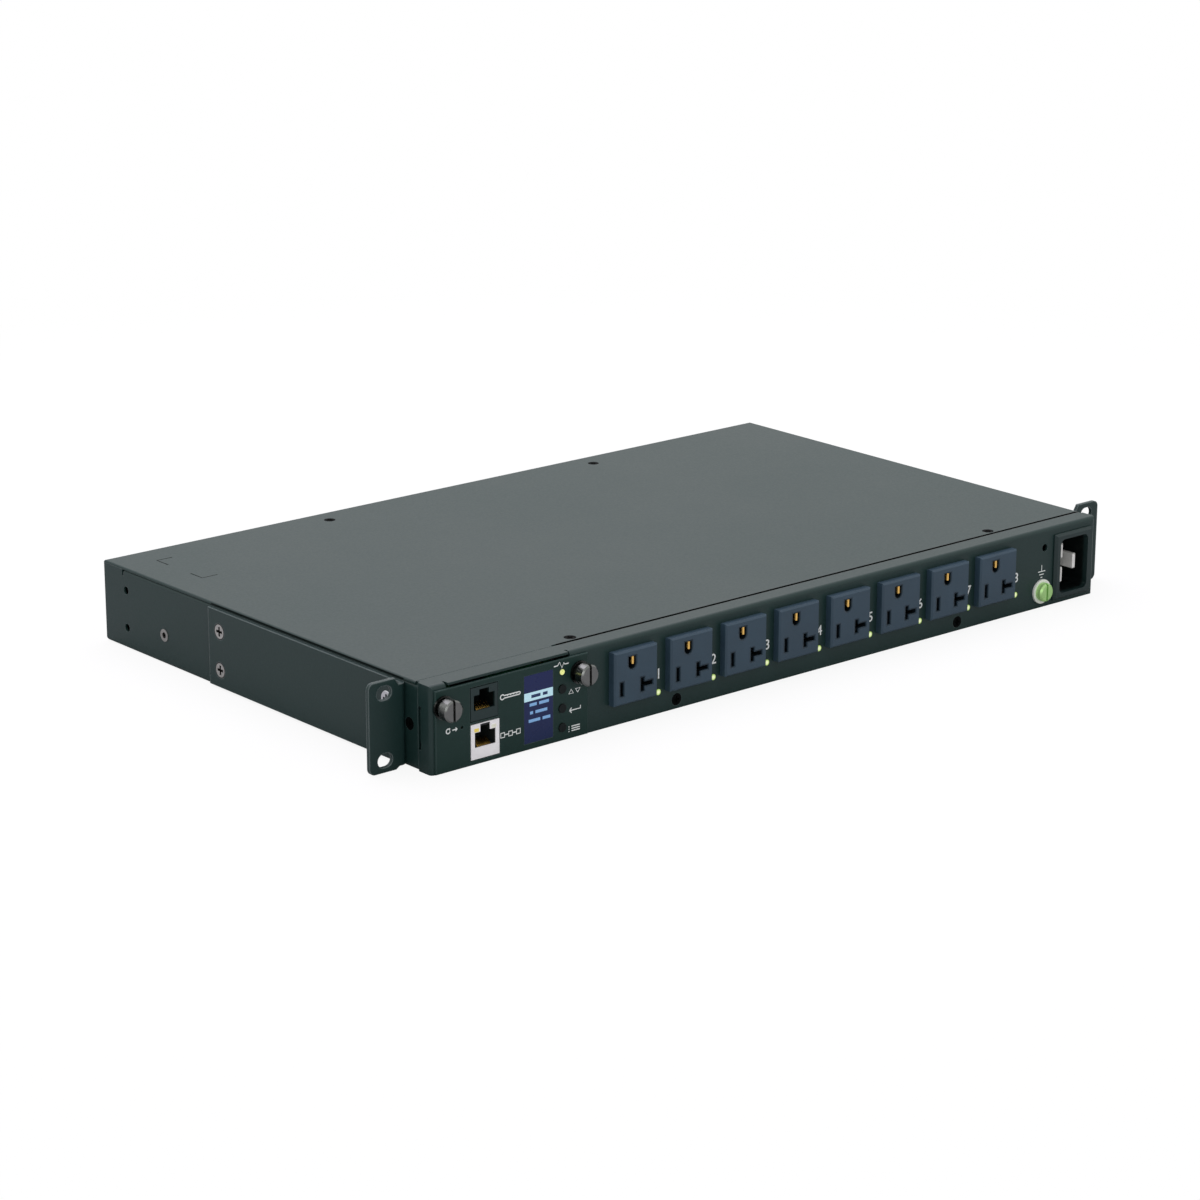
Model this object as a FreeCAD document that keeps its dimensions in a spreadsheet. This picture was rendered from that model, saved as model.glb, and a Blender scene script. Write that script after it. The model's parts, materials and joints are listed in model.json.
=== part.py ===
import FreeCAD
import Part
import Sketcher
import os
import re

# Rack power distribution unit, one rack unit high, in millimetres.
# X runs to the right seen from the front, Y to the back, Z up.
# The origin is the middle of the underside of the case.

# Driving dimensions: name, value, meaning.
SIZES = (
    ("chassis_width", 440.0, "outside width of the case"),
    ("chassis_depth", 265.0, "front face to back face of the case"),
    ("chassis_height", 42.0, "underside to top of the case"),
    ("sheet", 1.2, "steel sheet of the case"),
    ("bend", 0.8, "inside radius of every fold"),
    ("seam", 0.3, "gap left between neighbouring sheets"),
    ("fit", 0.05, "clearance round screws and pressed pieces"),
    # front panel
    ("top_flange", 11.0, "depth of the front panel's top flange"),
    ("side_flange", 9.0, "depth of the front panel's side flanges"),
    ("flange_slot_width", 1.7, "notch in the back edge of a side flange"),
    ("flange_slot_height", 20.6, "height of that notch"),
    ("flange_slot_level", 20.7, "height of the notch's middle"),
    ("joint_tab", 12.0, "reach of the panel's tabs behind its flanges"),
    ("joint_tab_height", 15.0, "height of those tabs"),
    ("joint_lap", 5.0, "length of tab that backs the flange"),
    ("cover_tab_width", 20.0, "width of the tabs under the cover's front screws"),
    ("relief_width", 1.2, "width of a bend relief"),
    ("relief_depth", 3.2, "depth of a bend relief"),
    # tray and cover
    ("lip_gap", 0.65, "gap between the tray's front lip and the lights"),
    ("front_lip_end", 52.0, "right end of the lip from the right side"),
    ("side_lip", 12.0, "width of the tray's inward side flanges"),
    ("rear_flange", 20.0, "depth of the tray's rear top flange"),
    ("rear_post", 16.2, "unfolded length of side wall at the back"),
    ("wide_seam", 1.3, "extra gap along the open part of the cover seam"),
    ("cover_round", 0.9, "rounding of the cover's edges"),
    # screws of the case
    ("small_head", 3.0, "head radius of the cover and panel screws"),
    ("small_thread", 1.5, "thread radius of those screws"),
    ("small_length", 5.0, "length of those screws"),
    ("small_cross", 3.2, "span of their cross recess"),
    ("small_cross_width", 0.9, "width of that recess"),
    ("large_head", 4.0, "head radius of the bracket screws"),
    ("large_thread", 2.0, "thread radius of the bracket screws"),
    ("large_length", 6.0, "length of the bracket screws"),
    ("large_cross", 4.8, "span of their cross recess"),
    ("large_cross_width", 1.3, "width of that recess"),
    ("cross_depth", 1.0, "depth of a cross recess"),
    ("cover_rear_x", 90.0, "rear cover screws from the middle"),
    ("cover_rear_y", 13.0, "rear cover screws from the back"),
    ("cover_front_left", 95.0, "left front cover screw from the left side"),
    ("cover_front_right", 64.0, "right front cover screw from the right side"),
    ("cover_front_inset", 5.2, "front cover screws from the cover's front edge"),
    ("panel_screw_left", 73.0, "left panel screw from the middle"),
    ("panel_screw_right", 117.8, "right panel screw from the middle"),
    ("panel_screw_level", 4.6, "height of the panel screws"),
    ("side_screw_inset", 6.2, "side screws from the tray's front edge"),
    ("side_screw_level", 21.0, "height of the side screws"),
    # side wall holes
    ("spare_hole_inset", 19.3, "spare bracket holes from the back face"),
    ("spare_hole_level", 20.7, "height of their middle"),
    ("bracket_hole_step", 19.4, "spacing of bracket screws and spare holes"),
    ("insert_inset", 52.5, "side insert from the back face"),
    ("insert_level", 15.1, "height of the side insert"),
    ("insert_radius", 3.2, "outside radius of the side insert"),
    ("insert_bore", 1.5, "bore radius of the side insert"),
    ("insert_length", 4.0, "length of the side insert"),
    ("insert_proud", 0.3, "how far the insert stands out of the wall"),
    # rack brackets
    ("bracket_sheet", 2.0, "steel sheet of the rack brackets"),
    ("bracket_back", 171.0, "back edge of a bracket from the front face"),
    ("bracket_low", 1.3, "lower edge of the bracket's side plate"),
    ("bracket_high", 40.0, "upper edge of the bracket's side plate"),
    ("bracket_screw_y", 162.0, "bracket screws from the front face"),
    ("bracket_screw_level", 19.7, "height of the bracket screws' middle"),
    ("ear_setback", 17.4, "ear front from the front face"),
    ("ear_reach", 21.3, "case side to the end of an ear"),
    ("ear_height", 43.2, "height of an ear"),
    ("ear_round", 3.0, "corner radius of an ear"),
    ("ear_root", 1.6, "straight part of the ear's root step"),
    ("ear_slope", 2.0, "sloped part of the ear's root step"),
    ("rack_slot_reach", 12.55, "case side to the middle of the rack slots"),
    ("rack_slot_inset", 5.725, "rack slots from the ear's lower and upper edges"),
    ("rack_slot_width", 6.6, "height of a rack slot"),
    ("rack_slot_length", 8.4, "end to end length of a rack slot"),
    # outlets
    ("row_shift", 5.0, "outlet row left of the middle between faceplate and ground screw"),
    ("row_margin", 24.0, "least length that the outlet row leaves free at its ends"),
    ("outlet_width", 26.7, "width of an outlet's face"),
    ("outlet_gap", 8.3, "gap between two outlets"),
    ("outlet_height", 26.1, "height of an outlet's face"),
    ("outlet_level", 23.7, "height of the outlets' middle"),
    ("outlet_proud", 4.3, "how far an outlet stands out of the panel"),
    ("outlet_bevel", 0.8, "bevel round an outlet's face"),
    ("outlet_shoulder", 0.75, "step between face and rear body"),
    ("outlet_depth", 28.0, "panel face to the back of an outlet"),
    ("outlet_wall", 3.0, "front wall of an outlet"),
    ("contact_shift", 2.5, "contact set left of the outlet's middle"),
    ("blade_spacing", 12.7, "spacing of the two blade slots"),
    ("blade_drop", 5.2, "blade slots below the outlet's middle"),
    ("ground_rise", 6.8, "ground hole above the outlet's middle"),
    ("slot_width", 2.2, "width of a blade slot"),
    ("slot_height", 6.9, "height of a blade slot"),
    ("tee_reach", 6.3, "length of the sideways arm of the tee slot"),
    ("ground_width", 4.8, "width of the ground hole"),
    ("ground_height", 6.2, "height of the ground hole"),
    ("leaf", 0.6, "brass sheet of the contacts"),
    ("clip_gap", 1.3, "gap between the leaves of a blade clip"),
    ("clip_height", 6.6, "height of a blade clip"),
    ("clip_depth", 16.0, "length of a contact clip"),
    ("ground_clip_gap", 3.4, "gap between the leaves of a ground clip"),
    ("ground_clip_height", 5.6, "height of a ground clip"),
    ("contact_clearance", 0.25, "gap between a clip and its chamber"),
    ("bar_gap", 1.6, "outlet's back to the contact bars"),
    ("bar_sheet", 1.0, "thickness of the contact bars"),
    ("bar_height", 3.0, "height of the contact bars"),
    ("bar_end", 9.0, "end tabs of the bars from the last outlet's middle"),
    ("light_gap", 3.9, "outlet's side to the middle of its light"),
    ("light_level", 10.7, "height of the outlet lights"),
    ("light_radius", 1.45, "radius of an outlet light"),
    ("light_proud", 0.3, "how far a light stands out of its plate"),
    ("light_rim", 0.6, "extra radius of the light's rim behind the panel"),
    # boards
    ("board_gap", 2.4, "contact bars to the outlet board"),
    ("board_sheet", 1.6, "thickness of the circuit boards"),
    ("board_margin", 17.5, "outlet board past the end outlets' middles"),
    ("board_rise", 2.2, "outlet board above the tray's floor"),
    ("board_clear", 2.8, "outlet board below the cover"),
    ("relay_width", 13.5, "width of a relay"),
    ("relay_depth", 16.0, "depth of a relay"),
    ("relay_height", 27.0, "height of a relay"),
    ("supply_width", 120.0, "width of the supply board"),
    ("supply_depth", 96.0, "depth of the supply board"),
    ("supply_setback", 116.0, "panel face to the supply board"),
    ("standoff_height", 8.0, "height of the board standoffs"),
    ("standoff_radius", 3.0, "radius of the board standoffs"),
    ("standoff_inset", 5.0, "standoffs from the board's edges"),
    ("transformer_width", 42.0, "width of the transformer"),
    ("transformer_depth", 36.0, "depth of the transformer"),
    ("transformer_height", 25.0, "height of the transformer"),
    ("transformer_bevel", 3.0, "bevel round the transformer's top"),
    ("transformer_inset", 9.0, "transformer from the supply board's left edge"),
    ("capacitor_radius", 9.0, "radius of the capacitor"),
    ("capacitor_height", 24.0, "height of the capacitor"),
    ("capacitor_inset", 21.0, "capacitor from the supply board's right edge"),
    # inlet
    ("inlet_inset", 17.6, "inlet's middle from the right side"),
    ("inlet_level", 19.9, "height of the inlet's middle"),
    ("inlet_width", 28.0, "width of the inlet's bezel"),
    ("inlet_height", 35.4, "height of the inlet's bezel"),
    ("inlet_proud", 2.0, "how far the bezel stands out"),
    ("inlet_bevel", 1.3, "bevel round the bezel"),
    ("inlet_shoulder", 2.0, "step between bezel and rear body"),
    ("inlet_depth", 30.0, "panel face to the back of the inlet"),
    ("recess_width", 20.8, "width of the inlet's recess"),
    ("recess_height", 29.0, "height of the inlet's recess"),
    ("recess_depth", 22.0, "depth of the inlet's recess"),
    ("recess_round", 3.0, "corner radius of the recess"),
    ("pin_thickness", 2.0, "thickness of an inlet blade"),
    ("pin_height", 8.0, "height of an inlet blade"),
    ("pin_spacing", 13.0, "line to neutral blade spacing"),
    ("pin_offset", 8.0, "earth blade beside the other two"),
    ("pin_setback", 1.2, "earth blade's tip behind the panel face"),
    ("earth_ahead", 1.6, "earth blade's tip ahead of the other two"),
    ("pin_tail", 6.0, "blade tails behind the inlet"),
    ("pin_round", 0.7, "rounding of a blade's tip"),
    ("lead_radius", 1.9, "radius of an inlet lead"),
    ("lead_bend", 12.0, "bend radius of the leads"),
    ("lead_reach", 28.0, "blade tails to the far run of the leads"),
    ("lead_gap", 3.85, "gap between the last relay and the leads"),
    # ground screw and retainer hole
    ("ground_inset", 40.0, "ground screw from the right side"),
    ("ground_level", 8.8, "height of the ground screw"),
    ("washer_radius", 6.4, "radius of the ground washer"),
    ("washer_sheet", 1.0, "thickness of the ground washer"),
    ("ground_head", 4.9, "head radius of the ground screw"),
    ("ground_head_height", 3.6, "head height of the ground screw"),
    ("ground_bevel", 0.9, "bevel of the ground screw's head"),
    ("ground_thread", 2.5, "thread radius of the ground screw"),
    ("ground_length", 9.0, "thread length of the ground screw behind the panel face"),
    ("driver_slot", 1.3, "width of a screwdriver slot"),
    ("driver_depth", 1.6, "depth of a screwdriver slot"),
    ("retainer_inset", 38.2, "retainer hole from the right side"),
    ("retainer_level", 31.8, "height of the retainer hole"),
    ("retainer_radius", 2.0, "radius of the retainer hole"),
    # controller bay and module
    ("bay_inset", 10.0, "controller bay from the left side"),
    ("bay_width", 70.0, "width of the controller bay"),
    ("seat_gap", 0.1, "gap between the faceplate and the panel"),
    ("plate_lap_left", 8.3, "faceplate past the left end of the bay"),
    ("plate_lap_right", 11.0, "faceplate past the right end of the bay"),
    ("plate_level", 0.3, "lower edge of the faceplate"),
    ("plate_clear", 1.0, "faceplate below the top lip"),
    ("plate_sheet", 1.2, "thickness of the faceplate"),
    ("plate_round", 0.3, "edge bevel of the faceplate"),
    ("thumb_inset_left", 4.4, "left thumbscrew from the faceplate's left end"),
    ("thumb_inset_right", 5.4, "right thumbscrew from the faceplate's right end"),
    ("thumb_level", 31.5, "height of the thumbscrews"),
    ("ferrule_radius", 5.5, "radius of a ferrule's rim"),
    ("ferrule_rim", 1.0, "thickness of that rim"),
    ("ferrule_barrel", 3.6, "radius of a ferrule in the plate"),
    ("thumb_thread", 2.5, "thread radius of a thumbscrew"),
    ("thumb_running", 0.08, "running clearance of a thumbscrew"),
    ("thumb_neck", 3.4, "neck radius of a thumbscrew"),
    ("thumb_neck_length", 1.3, "length of the neck"),
    ("thumb_knob", 5.2, "radius of the knob"),
    ("thumb_knob_length", 5.8, "length of the knob"),
    ("thumb_bevel", 0.7, "bevel of the knob"),
    ("thumb_reach", 8.0, "thread length behind the panel face"),
    ("thumb_hole_gap", 0.4, "clearance of the thread in the panel"),
    ("sled_gap", 0.6, "gap between the sled and the bay's sides"),
    ("sled_rise", 0.3, "gap between the sled and the tray's floor"),
    ("sled_sheet", 0.9, "sheet of the sled"),
    ("sled_clear", 4.8, "sled below the cover"),
    ("interface_offset", 14.0, "panel face to the interface board"),
    ("interface_clear", 0.6, "interface board below the sled's rim"),
    ("control_depth", 96.0, "depth of the controller board"),
    ("control_rise", 4.6, "controller board above the sled's floor"),
    ("boss_radius", 2.5, "radius of the sled's bosses"),
    ("boss_inset", 6.0, "bosses from the board's edges"),
    ("port_gap", 0.4, "gap round the jacks in the faceplate"),
    ("jack_inset", 20.1, "jacks from the faceplate's left end"),
    ("sensor_width", 15.6, "width of the sensor jack"),
    ("sensor_height", 15.8, "height of the sensor jack"),
    ("jack_gap", 1.6, "gap between the two jacks"),
    ("network_width", 16.4, "width of the network jack"),
    ("network_height", 16.7, "height of the network jack"),
    ("jack_rise", 0.4, "network jack above the sled's floor"),
    ("shell_sheet", 0.4, "metal of the network jack's shell"),
    ("shell_gap", 0.1, "gap between the shell and its insert"),
    ("mouth_width", 12.0, "width of a jack's mouth"),
    ("mouth_height", 7.2, "height of a jack's mouth"),
    ("sensor_sill", 4.8, "sensor mouth above the jack's lower edge"),
    ("network_sill", 5.5, "network mouth above the jack's lower edge"),
    ("latch_width", 5.6, "width of the latch notch over a mouth"),
    ("latch_height", 2.5, "height of the latch notch"),
    ("mouth_depth", 11.5, "depth of a jack's mouth"),
    ("wire_width", 0.45, "width of a jack contact"),
    ("wire_pitch", 1.02, "pitch of the jack contacts"),
    ("wire_start", 0.9, "contacts behind the jack's face"),
    ("wire_thickness", 0.9, "contact thickness along the jack"),
    ("wire_run", 3.4, "slanted length of a contact along the jack"),
    ("wire_rise", 2.5, "rise of a contact"),
    ("display_inset", 51.1, "display from the faceplate's left end"),
    ("display_width", 17.0, "width of the display window"),
    ("display_height", 32.5, "height of the display window"),
    ("display_rise", 0.1, "display frame above the sled's floor"),
    ("display_border", 1.0, "display frame past its window"),
    ("display_depth", 3.0, "depth of the display frame"),
    ("button_side", 0.5, "gap between a button's collar and the sled's wall"),
    ("button_level", 6.8, "height of the lowest button"),
    ("button_step", 9.3, "spacing of the buttons"),
    ("button_radius", 2.15, "radius of a button"),
    ("button_gap", 0.1, "clearance of a button in its hole"),
    ("button_proud", 0.5, "how far a button stands out"),
    ("button_collar", 2.7, "radius of a button's collar"),
    ("button_collar_sheet", 0.8, "thickness of the collar"),
    ("button_length", 9.6, "panel face to the end of a button"),
    ("button_travel", 0.5, "travel of a button"),
    ("switch_size", 4.6, "width of a switch under a button"),
    ("reset_inset", 15.1, "reset hole from the faceplate's left end"),
    ("reset_level", 19.8, "height of the reset hole"),
    ("reset_hole", 0.8, "radius of the reset hole"),
    ("reset_radius", 1.5, "radius of the reset plunger"),
    ("status_level", 33.6, "height of the status light"),
    ("status_radius", 1.3, "radius of the status light"),
    # dock between module and tray
    ("dock_width", 40.0, "width of the dock plug"),
    ("dock_height", 9.0, "height of the dock plug"),
    ("dock_depth", 14.0, "depth of the dock plug"),
    ("dock_overhang", 7.0, "dock plug past the controller board"),
    ("dock_tongue", 8.0, "tongue of the dock socket"),
    ("dock_tongue_sheet", 2.4, "thickness of that tongue"),
    ("dock_wall", 3.0, "walls at the ends of the dock plug's slot"),
    ("dock_gap", 0.3, "clearance of the tongue"),
    ("dock_body", 12.0, "depth of the dock socket"),
    # divider between bay and outlets
    ("divider_gap", 3.0, "divider from the controller bay"),
    ("divider_front", 14.0, "panel face to the divider"),
    ("divider_depth", 128.0, "depth of the divider"),
    ("divider_clear", 3.8, "divider below the cover"),
    ("divider_foot", 10.0, "foot of the divider"),
)
CONTACTS = 8
OUTLETS = 8

doc = FreeCAD.newDocument("rack_power_unit")
sheet = doc.addObject("Spreadsheet::Sheet", "Sizes")
for row, (alias, value, meaning) in enumerate(SIZES, start=1):
    sheet.set(f"A{row}", meaning)
    sheet.set(f"B{row}", str(value))
    sheet.setAlias(f"B{row}", alias)
doc.recompute()
ALIASES = re.compile(r"\b(" + "|".join(alias for alias, value, meaning in SIZES) + r")\b")

# Planes and edges that many pieces share, as formulas.
FRONT = "(-chassis_depth / 2)"
BACK = "(chassis_depth / 2)"
LEFT = "(-chassis_width / 2)"
RIGHT = "(chassis_width / 2)"
TOP = "chassis_height"
LEDGE = "(chassis_height - sheet)"
OUTER_BEND = "(bend + sheet)"
TRAY_FRONT = f"({FRONT} + side_flange + seam)"
COVER_FRONT = f"({FRONT} + top_flange + seam)"
LIP_TOP = "(light_level - light_radius - light_rim - lip_gap)"
BAY_LEFT = f"({LEFT} + bay_inset)"
BAY_RIGHT = f"({LEFT} + bay_inset + bay_width)"
PLATE_LEFT = f"({BAY_LEFT} - plate_lap_left)"
PLATE_RIGHT = f"({BAY_RIGHT} + plate_lap_right)"
PLATE_BACK = f"({FRONT} - seat_gap)"
PLATE_FRONT = f"({FRONT} - seat_gap - plate_sheet)"
SLED_LEFT = f"({BAY_LEFT} + sled_gap)"
SLED_RIGHT = f"({BAY_RIGHT} - sled_gap)"
SLED_FLOOR = "(sheet + sled_rise)"
SLED_DECK = "(sheet + sled_rise + sled_sheet)"
SLED_RIM = f"({LEDGE} - sled_clear)"
JACK_LEFT = f"({PLATE_LEFT} + jack_inset)"
NETWORK_LEVEL = f"({SLED_DECK} + jack_rise)"
SENSOR_LEVEL = f"({NETWORK_LEVEL} + network_height + jack_gap)"
DISPLAY_LEVEL = f"({SLED_DECK} + display_rise + display_border)"
BUTTON_X = f"({SLED_RIGHT} - sled_sheet - button_side - button_collar)"
RESET_X = f"({PLATE_LEFT} + reset_inset)"
INTERFACE = f"({FRONT} + interface_offset)"
INLET_X = f"({RIGHT} - inlet_inset)"
GROUND_X = f"({RIGHT} - ground_inset)"
ROW_MIDDLE = f"(({PLATE_RIGHT} + {GROUND_X}) / 2 - row_shift)"
# In a narrow case the outlets and their lights move together.
ROW_ROOM = f"({GROUND_X} - {PLATE_RIGHT} - row_margin)"
ROW_GAP = f"min(outlet_gap; ({ROW_ROOM} - {OUTLETS} * outlet_width) / {OUTLETS - 1})"
LIGHT_OUT = f"(outlet_width / 2 + min(light_gap; {ROW_GAP} / 2))"
CONTROL_LEVEL = f"({SLED_DECK} + control_rise)"
CONTROL_FRONT = f"({INTERFACE} + board_sheet)"
CONTROL_BACK = f"({CONTROL_FRONT} + control_depth)"
PLUG_BACK = f"({CONTROL_BACK} + dock_overhang)"
DOCK_X = f"(({BAY_LEFT} + {BAY_RIGHT}) / 2)"
CLIP_FRONT = f"({FRONT} - outlet_proud + outlet_wall + contact_clearance)"
CLIP_BACK = f"({CLIP_FRONT} + clip_depth)"
BAR_FRONT = f"({FRONT} + outlet_depth + bar_gap)"
BAR_BACK = f"({BAR_FRONT} + bar_sheet)"
BOARD_FRONT = f"({BAR_BACK} + board_gap)"
BOARD_BACK = f"({BOARD_FRONT} + board_sheet)"
BLADE_LEVEL = "(outlet_level - blade_drop)"
GROUND_HOLE_LEVEL = "(outlet_level + ground_rise)"
THUMB_X = (f"({PLATE_LEFT} + thumb_inset_left)", f"({PLATE_RIGHT} - thumb_inset_right)")
# Cutters run this far past the faces that they go through.
PAST = "2"
# Points nearer to each other than this are one point.
TOUCH = 1e-4

FACING = {
    "up": FreeCAD.Rotation(),
    "left": FreeCAD.Rotation(FreeCAD.Vector(0, 1, 0), -90),
    "right": FreeCAD.Rotation(FreeCAD.Vector(0, 1, 0), 90),
    "front": FreeCAD.Rotation(FreeCAD.Vector(1, 0, 0), 90),
}

pieces = []


def bound(formula):
    """A size formula as an expression on the sheet."""
    return ALIASES.sub(r"Sizes.\1", formula)


def size(formula):
    """The present value of a size formula."""
    return float(sheet.evalExpression(bound(formula)))


def outlet_x(index):
    """Middle of an outlet across the case."""
    return f"({ROW_MIDDLE} + {index - (OUTLETS - 1) / 2} * (outlet_width + {ROW_GAP}))"


def piece(item, name):
    """Names a finished sub-part."""
    item.Label = name
    pieces.append(item)
    return item


def place(item, x, y, z, facing="up"):
    """Turns an object and ties its position to the sheet."""
    item.Placement = FreeCAD.Placement(FreeCAD.Vector(), FACING[facing])
    for axis, formula in zip("xyz", (x, y, z)):
        item.setExpression(f"Placement.Base.{axis}", bound(formula))
    return item


def block(name, x, y, z):
    """A box between two limits on each axis."""
    item = doc.addObject("Part::Box", name)
    for side, (low, high) in zip(("Length", "Width", "Height"), (x, y, z)):
        item.setExpression(side, bound(f"({high}) - ({low})"))
    return place(item, x[0], y[0], z[0])


def rod(name, facing, x, y, z, radius, length):
    """A cylinder that starts at a point and runs the way it faces."""
    item = doc.addObject("Part::Cylinder", name)
    item.setExpression("Radius", bound(radius))
    item.setExpression("Height", bound(length))
    return place(item, x, y, z, facing)


def join(name, items):
    item = doc.addObject("Part::MultiFuse", name)
    item.Shapes = items
    item.Refine = True
    return item


def cut(name, base, tools):
    item = doc.addObject("Part::Cut", name)
    item.Base = base
    item.Tool = tools[0] if len(tools) == 1 else join(name + "_tools", tools)
    item.Refine = True
    return item


def group(name, items):
    """Separate like solids that share one node."""
    item = doc.addObject("Part::Compound", name)
    item.Links = items
    return item


def rect(left, right, low, high):
    return [(left, low), (right, low), (right, high), (left, high)]


def draw(body, role, level, loops):
    """Sketches loops on an origin plane, moved by level along its normal.

    A loop is a list of corners, or a circle given as x, y and radius.
    """
    sketch = body.newObject("Sketcher::SketchObject", body.Name + "_sketch")
    plane = [part for part in body.Origin.OriginFeatures if part.Role == role][0]
    sketch.AttachmentSupport = [(plane, "")]
    sketch.MapMode = "FlatFace"
    sketch.setExpression("AttachmentOffset.Base.z", bound(level))

    def tie(kind, formula, *geometry):
        constraint = Sketcher.Constraint(kind, *geometry, size(formula))
        number = sketch.addConstraint(constraint)
        sketch.setExpression(f"Constraints[{number}]", bound(formula))

    for loop in loops:
        first = sketch.GeometryCount
        if isinstance(loop, tuple):
            x, y, radius = loop
            centre = FreeCAD.Vector(size(x), size(y), 0)
            circle = Part.Circle(centre, FreeCAD.Vector(0, 0, 1), size(radius))
            sketch.addGeometry(circle, False)
            tie("DistanceX", x, -1, 1, first, 3)
            tie("DistanceY", y, -1, 1, first, 3)
            tie("Radius", radius, first)
            continue
        corners = [FreeCAD.Vector(size(x), size(y), 0) for x, y in loop]
        count = len(corners)
        for index in range(count):
            line = Part.LineSegment(corners[index], corners[(index + 1) % count])
            sketch.addGeometry(line, False)
        for index in range(count):
            following = first + (index + 1) % count
            sketch.addConstraint(Sketcher.Constraint("Coincident", first + index, 2, following, 1))
        for index, (x, y) in enumerate(loop):
            tie("DistanceX", x, -1, 1, first + index, 1)
            tie("DistanceY", y, -1, 1, first + index, 1)
    return sketch


def pad(body, role, level, loops, length, back=False):
    feature = body.newObject("PartDesign::Pad", body.Name + "_pad")
    feature.Profile = draw(body, role, level, loops)
    feature.Reversed = back
    feature.setExpression("Length", bound(length))
    return feature


def pocket(body, role, level, loops, length, back=False):
    feature = body.newObject("PartDesign::Pocket", body.Name + "_pocket")
    feature.Profile = draw(body, role, level, loops)
    feature.Reversed = back
    feature.setExpression("Length", bound(length))
    return feature


def spin(body, role, corners):
    """Turns a profile of radius and height about the plane's upright axis."""
    feature = body.newObject("PartDesign::Revolution", body.Name + "_spin")
    sketch = draw(body, role, "0", [corners])
    feature.Profile = sketch
    feature.ReferenceAxis = (sketch, ["V_Axis"])
    feature.Angle = 360
    return feature


def on(shape, **limits):
    """Whether every corner of an edge or face lies on the given planes."""
    for axis, formula in limits.items():
        level = size(formula)
        if any(abs(getattr(vertex.Point, axis) - level) > TOUCH for vertex in shape.Vertexes):
            return False
    return True


def soften(body, kind, amount, wanted):
    """Rounds or bevels the wanted edges of a body."""
    doc.recompute()
    base = body.Tip
    edges = enumerate(base.Shape.Edges, start=1)
    names = [f"Edge{number}" for number, edge in edges if wanted(edge)]
    feature = body.newObject("PartDesign::" + kind, body.Name + "_edges")
    feature.Base = (base, names)
    feature.setExpression("Radius" if kind == "Fillet" else "Size", bound(amount))
    return feature


def hollow(body, wall, opened):
    """Leaves a wall inside the body's faces, apart from the opened ones."""
    doc.recompute()
    base = body.Tip
    faces = enumerate(base.Shape.Faces, start=1)
    names = [f"Face{number}" for number, face in faces if opened(face)]
    feature = body.newObject("PartDesign::Thickness", body.Name + "_wall")
    feature.Base = (base, names)
    feature.Reversed = True
    feature.setExpression("Value", bound(wall))
    return feature


def body_named(name):
    return doc.addObject("PartDesign::Body", name)


def turned(name, x, z, corners):
    """A turned piece whose axis runs front to back; corners are radius and depth."""
    body = body_named(name)
    spin(body, "XY_Plane", corners)
    return place(body, x, "0", z)


def flat_screw(name, facing, x, y, z, kind):
    """A countersunk cross-head screw whose head lies flush at a point."""
    body = body_named(name)
    spin(body, "XZ_Plane", [
        ("0", "0"),
        (f"{kind}_head", "0"),
        (f"{kind}_thread", f"{kind}_thread - {kind}_head"),
        (f"{kind}_thread", f"-{kind}_length"),
        ("0", f"-{kind}_length"),
    ])
    arm = f"{kind}_cross / 2"
    half = f"{kind}_cross_width / 2"
    quarter = [(arm, f"-{half}"), (arm, half), (half, half)]
    cross = []
    for turn in range(4):
        cross.extend(quarter)
        quarter = [(f"-({y})", x) for x, y in quarter]
    pocket(body, "XY_Plane", "0", [cross], "cross_depth")
    return place(body, x, y, z, facing)


def screw_hole(name, facing, x, y, z, kind):
    """Room for such a screw, with a clearance all round."""
    body = body_named(name)
    spin(body, "XZ_Plane", [
        ("0", "fit"),
        (f"{kind}_head + 2 * fit", "fit"),
        (f"{kind}_thread + fit", f"{kind}_thread - {kind}_head"),
        (f"{kind}_thread + fit", f"-{kind}_length - fit"),
        ("0", f"-{kind}_length - fit"),
    ])
    return place(body, x, y, z, facing)


# Screw places, shared by the screws and by the holes that they go through.
COVER_SCREWS = (
    ("-cover_rear_x", f"{BACK} - cover_rear_y"),
    ("cover_rear_x", f"{BACK} - cover_rear_y"),
    (f"{LEFT} + cover_front_left", f"{COVER_FRONT} + cover_front_inset"),
    (f"{RIGHT} - cover_front_right", f"{COVER_FRONT} + cover_front_inset"),
)
PANEL_SCREWS = ("-panel_screw_left", "panel_screw_right")
# Facing, outer face and inward sign of the two side walls.
SIDES = (("left", LEFT, "+"), ("right", RIGHT, "-"))
STEPS = ("- bracket_hole_step / 2", "+ bracket_hole_step / 2")


def cover_screws(make, stem):
    return [
        make(f"{stem}_{number}", "up", x, y, TOP, "small")
        for number, (x, y) in enumerate(COVER_SCREWS)
    ]


def panel_screws(make, stem):
    return [
        make(f"{stem}_{number}", "front", x, FRONT, "panel_screw_level", "small")
        for number, x in enumerate(PANEL_SCREWS)
    ]


def side_screws(make, stem):
    return [
        make(f"{stem}_{facing}", facing, x, f"{TRAY_FRONT} + side_screw_inset", "side_screw_level", "small")
        for facing, x, inward in SIDES
    ]


def bracket_screws(make, stem):
    screws = []
    for facing, x, inward in SIDES:
        face = f"{x} {inward} (-bracket_sheet)"
        for number, step in enumerate(STEPS):
            level = f"bracket_screw_level {step}"
            y = f"{FRONT} + bracket_screw_y"
            screws.append(make(f"{stem}_{facing}_{number}", facing, face, y, level, "large"))
    return screws


def through_panel(name, x, z, radius):
    """A round cutter through the front panel or the faceplate."""
    start = f"{FRONT} + sheet + {PAST}"
    return rod(name, "front", x, start, z, radius, f"sheet + plate_sheet + 3 * {PAST}")


def around(x, half):
    return (f"{x} - ({half})", f"{x} + ({half})")


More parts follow.
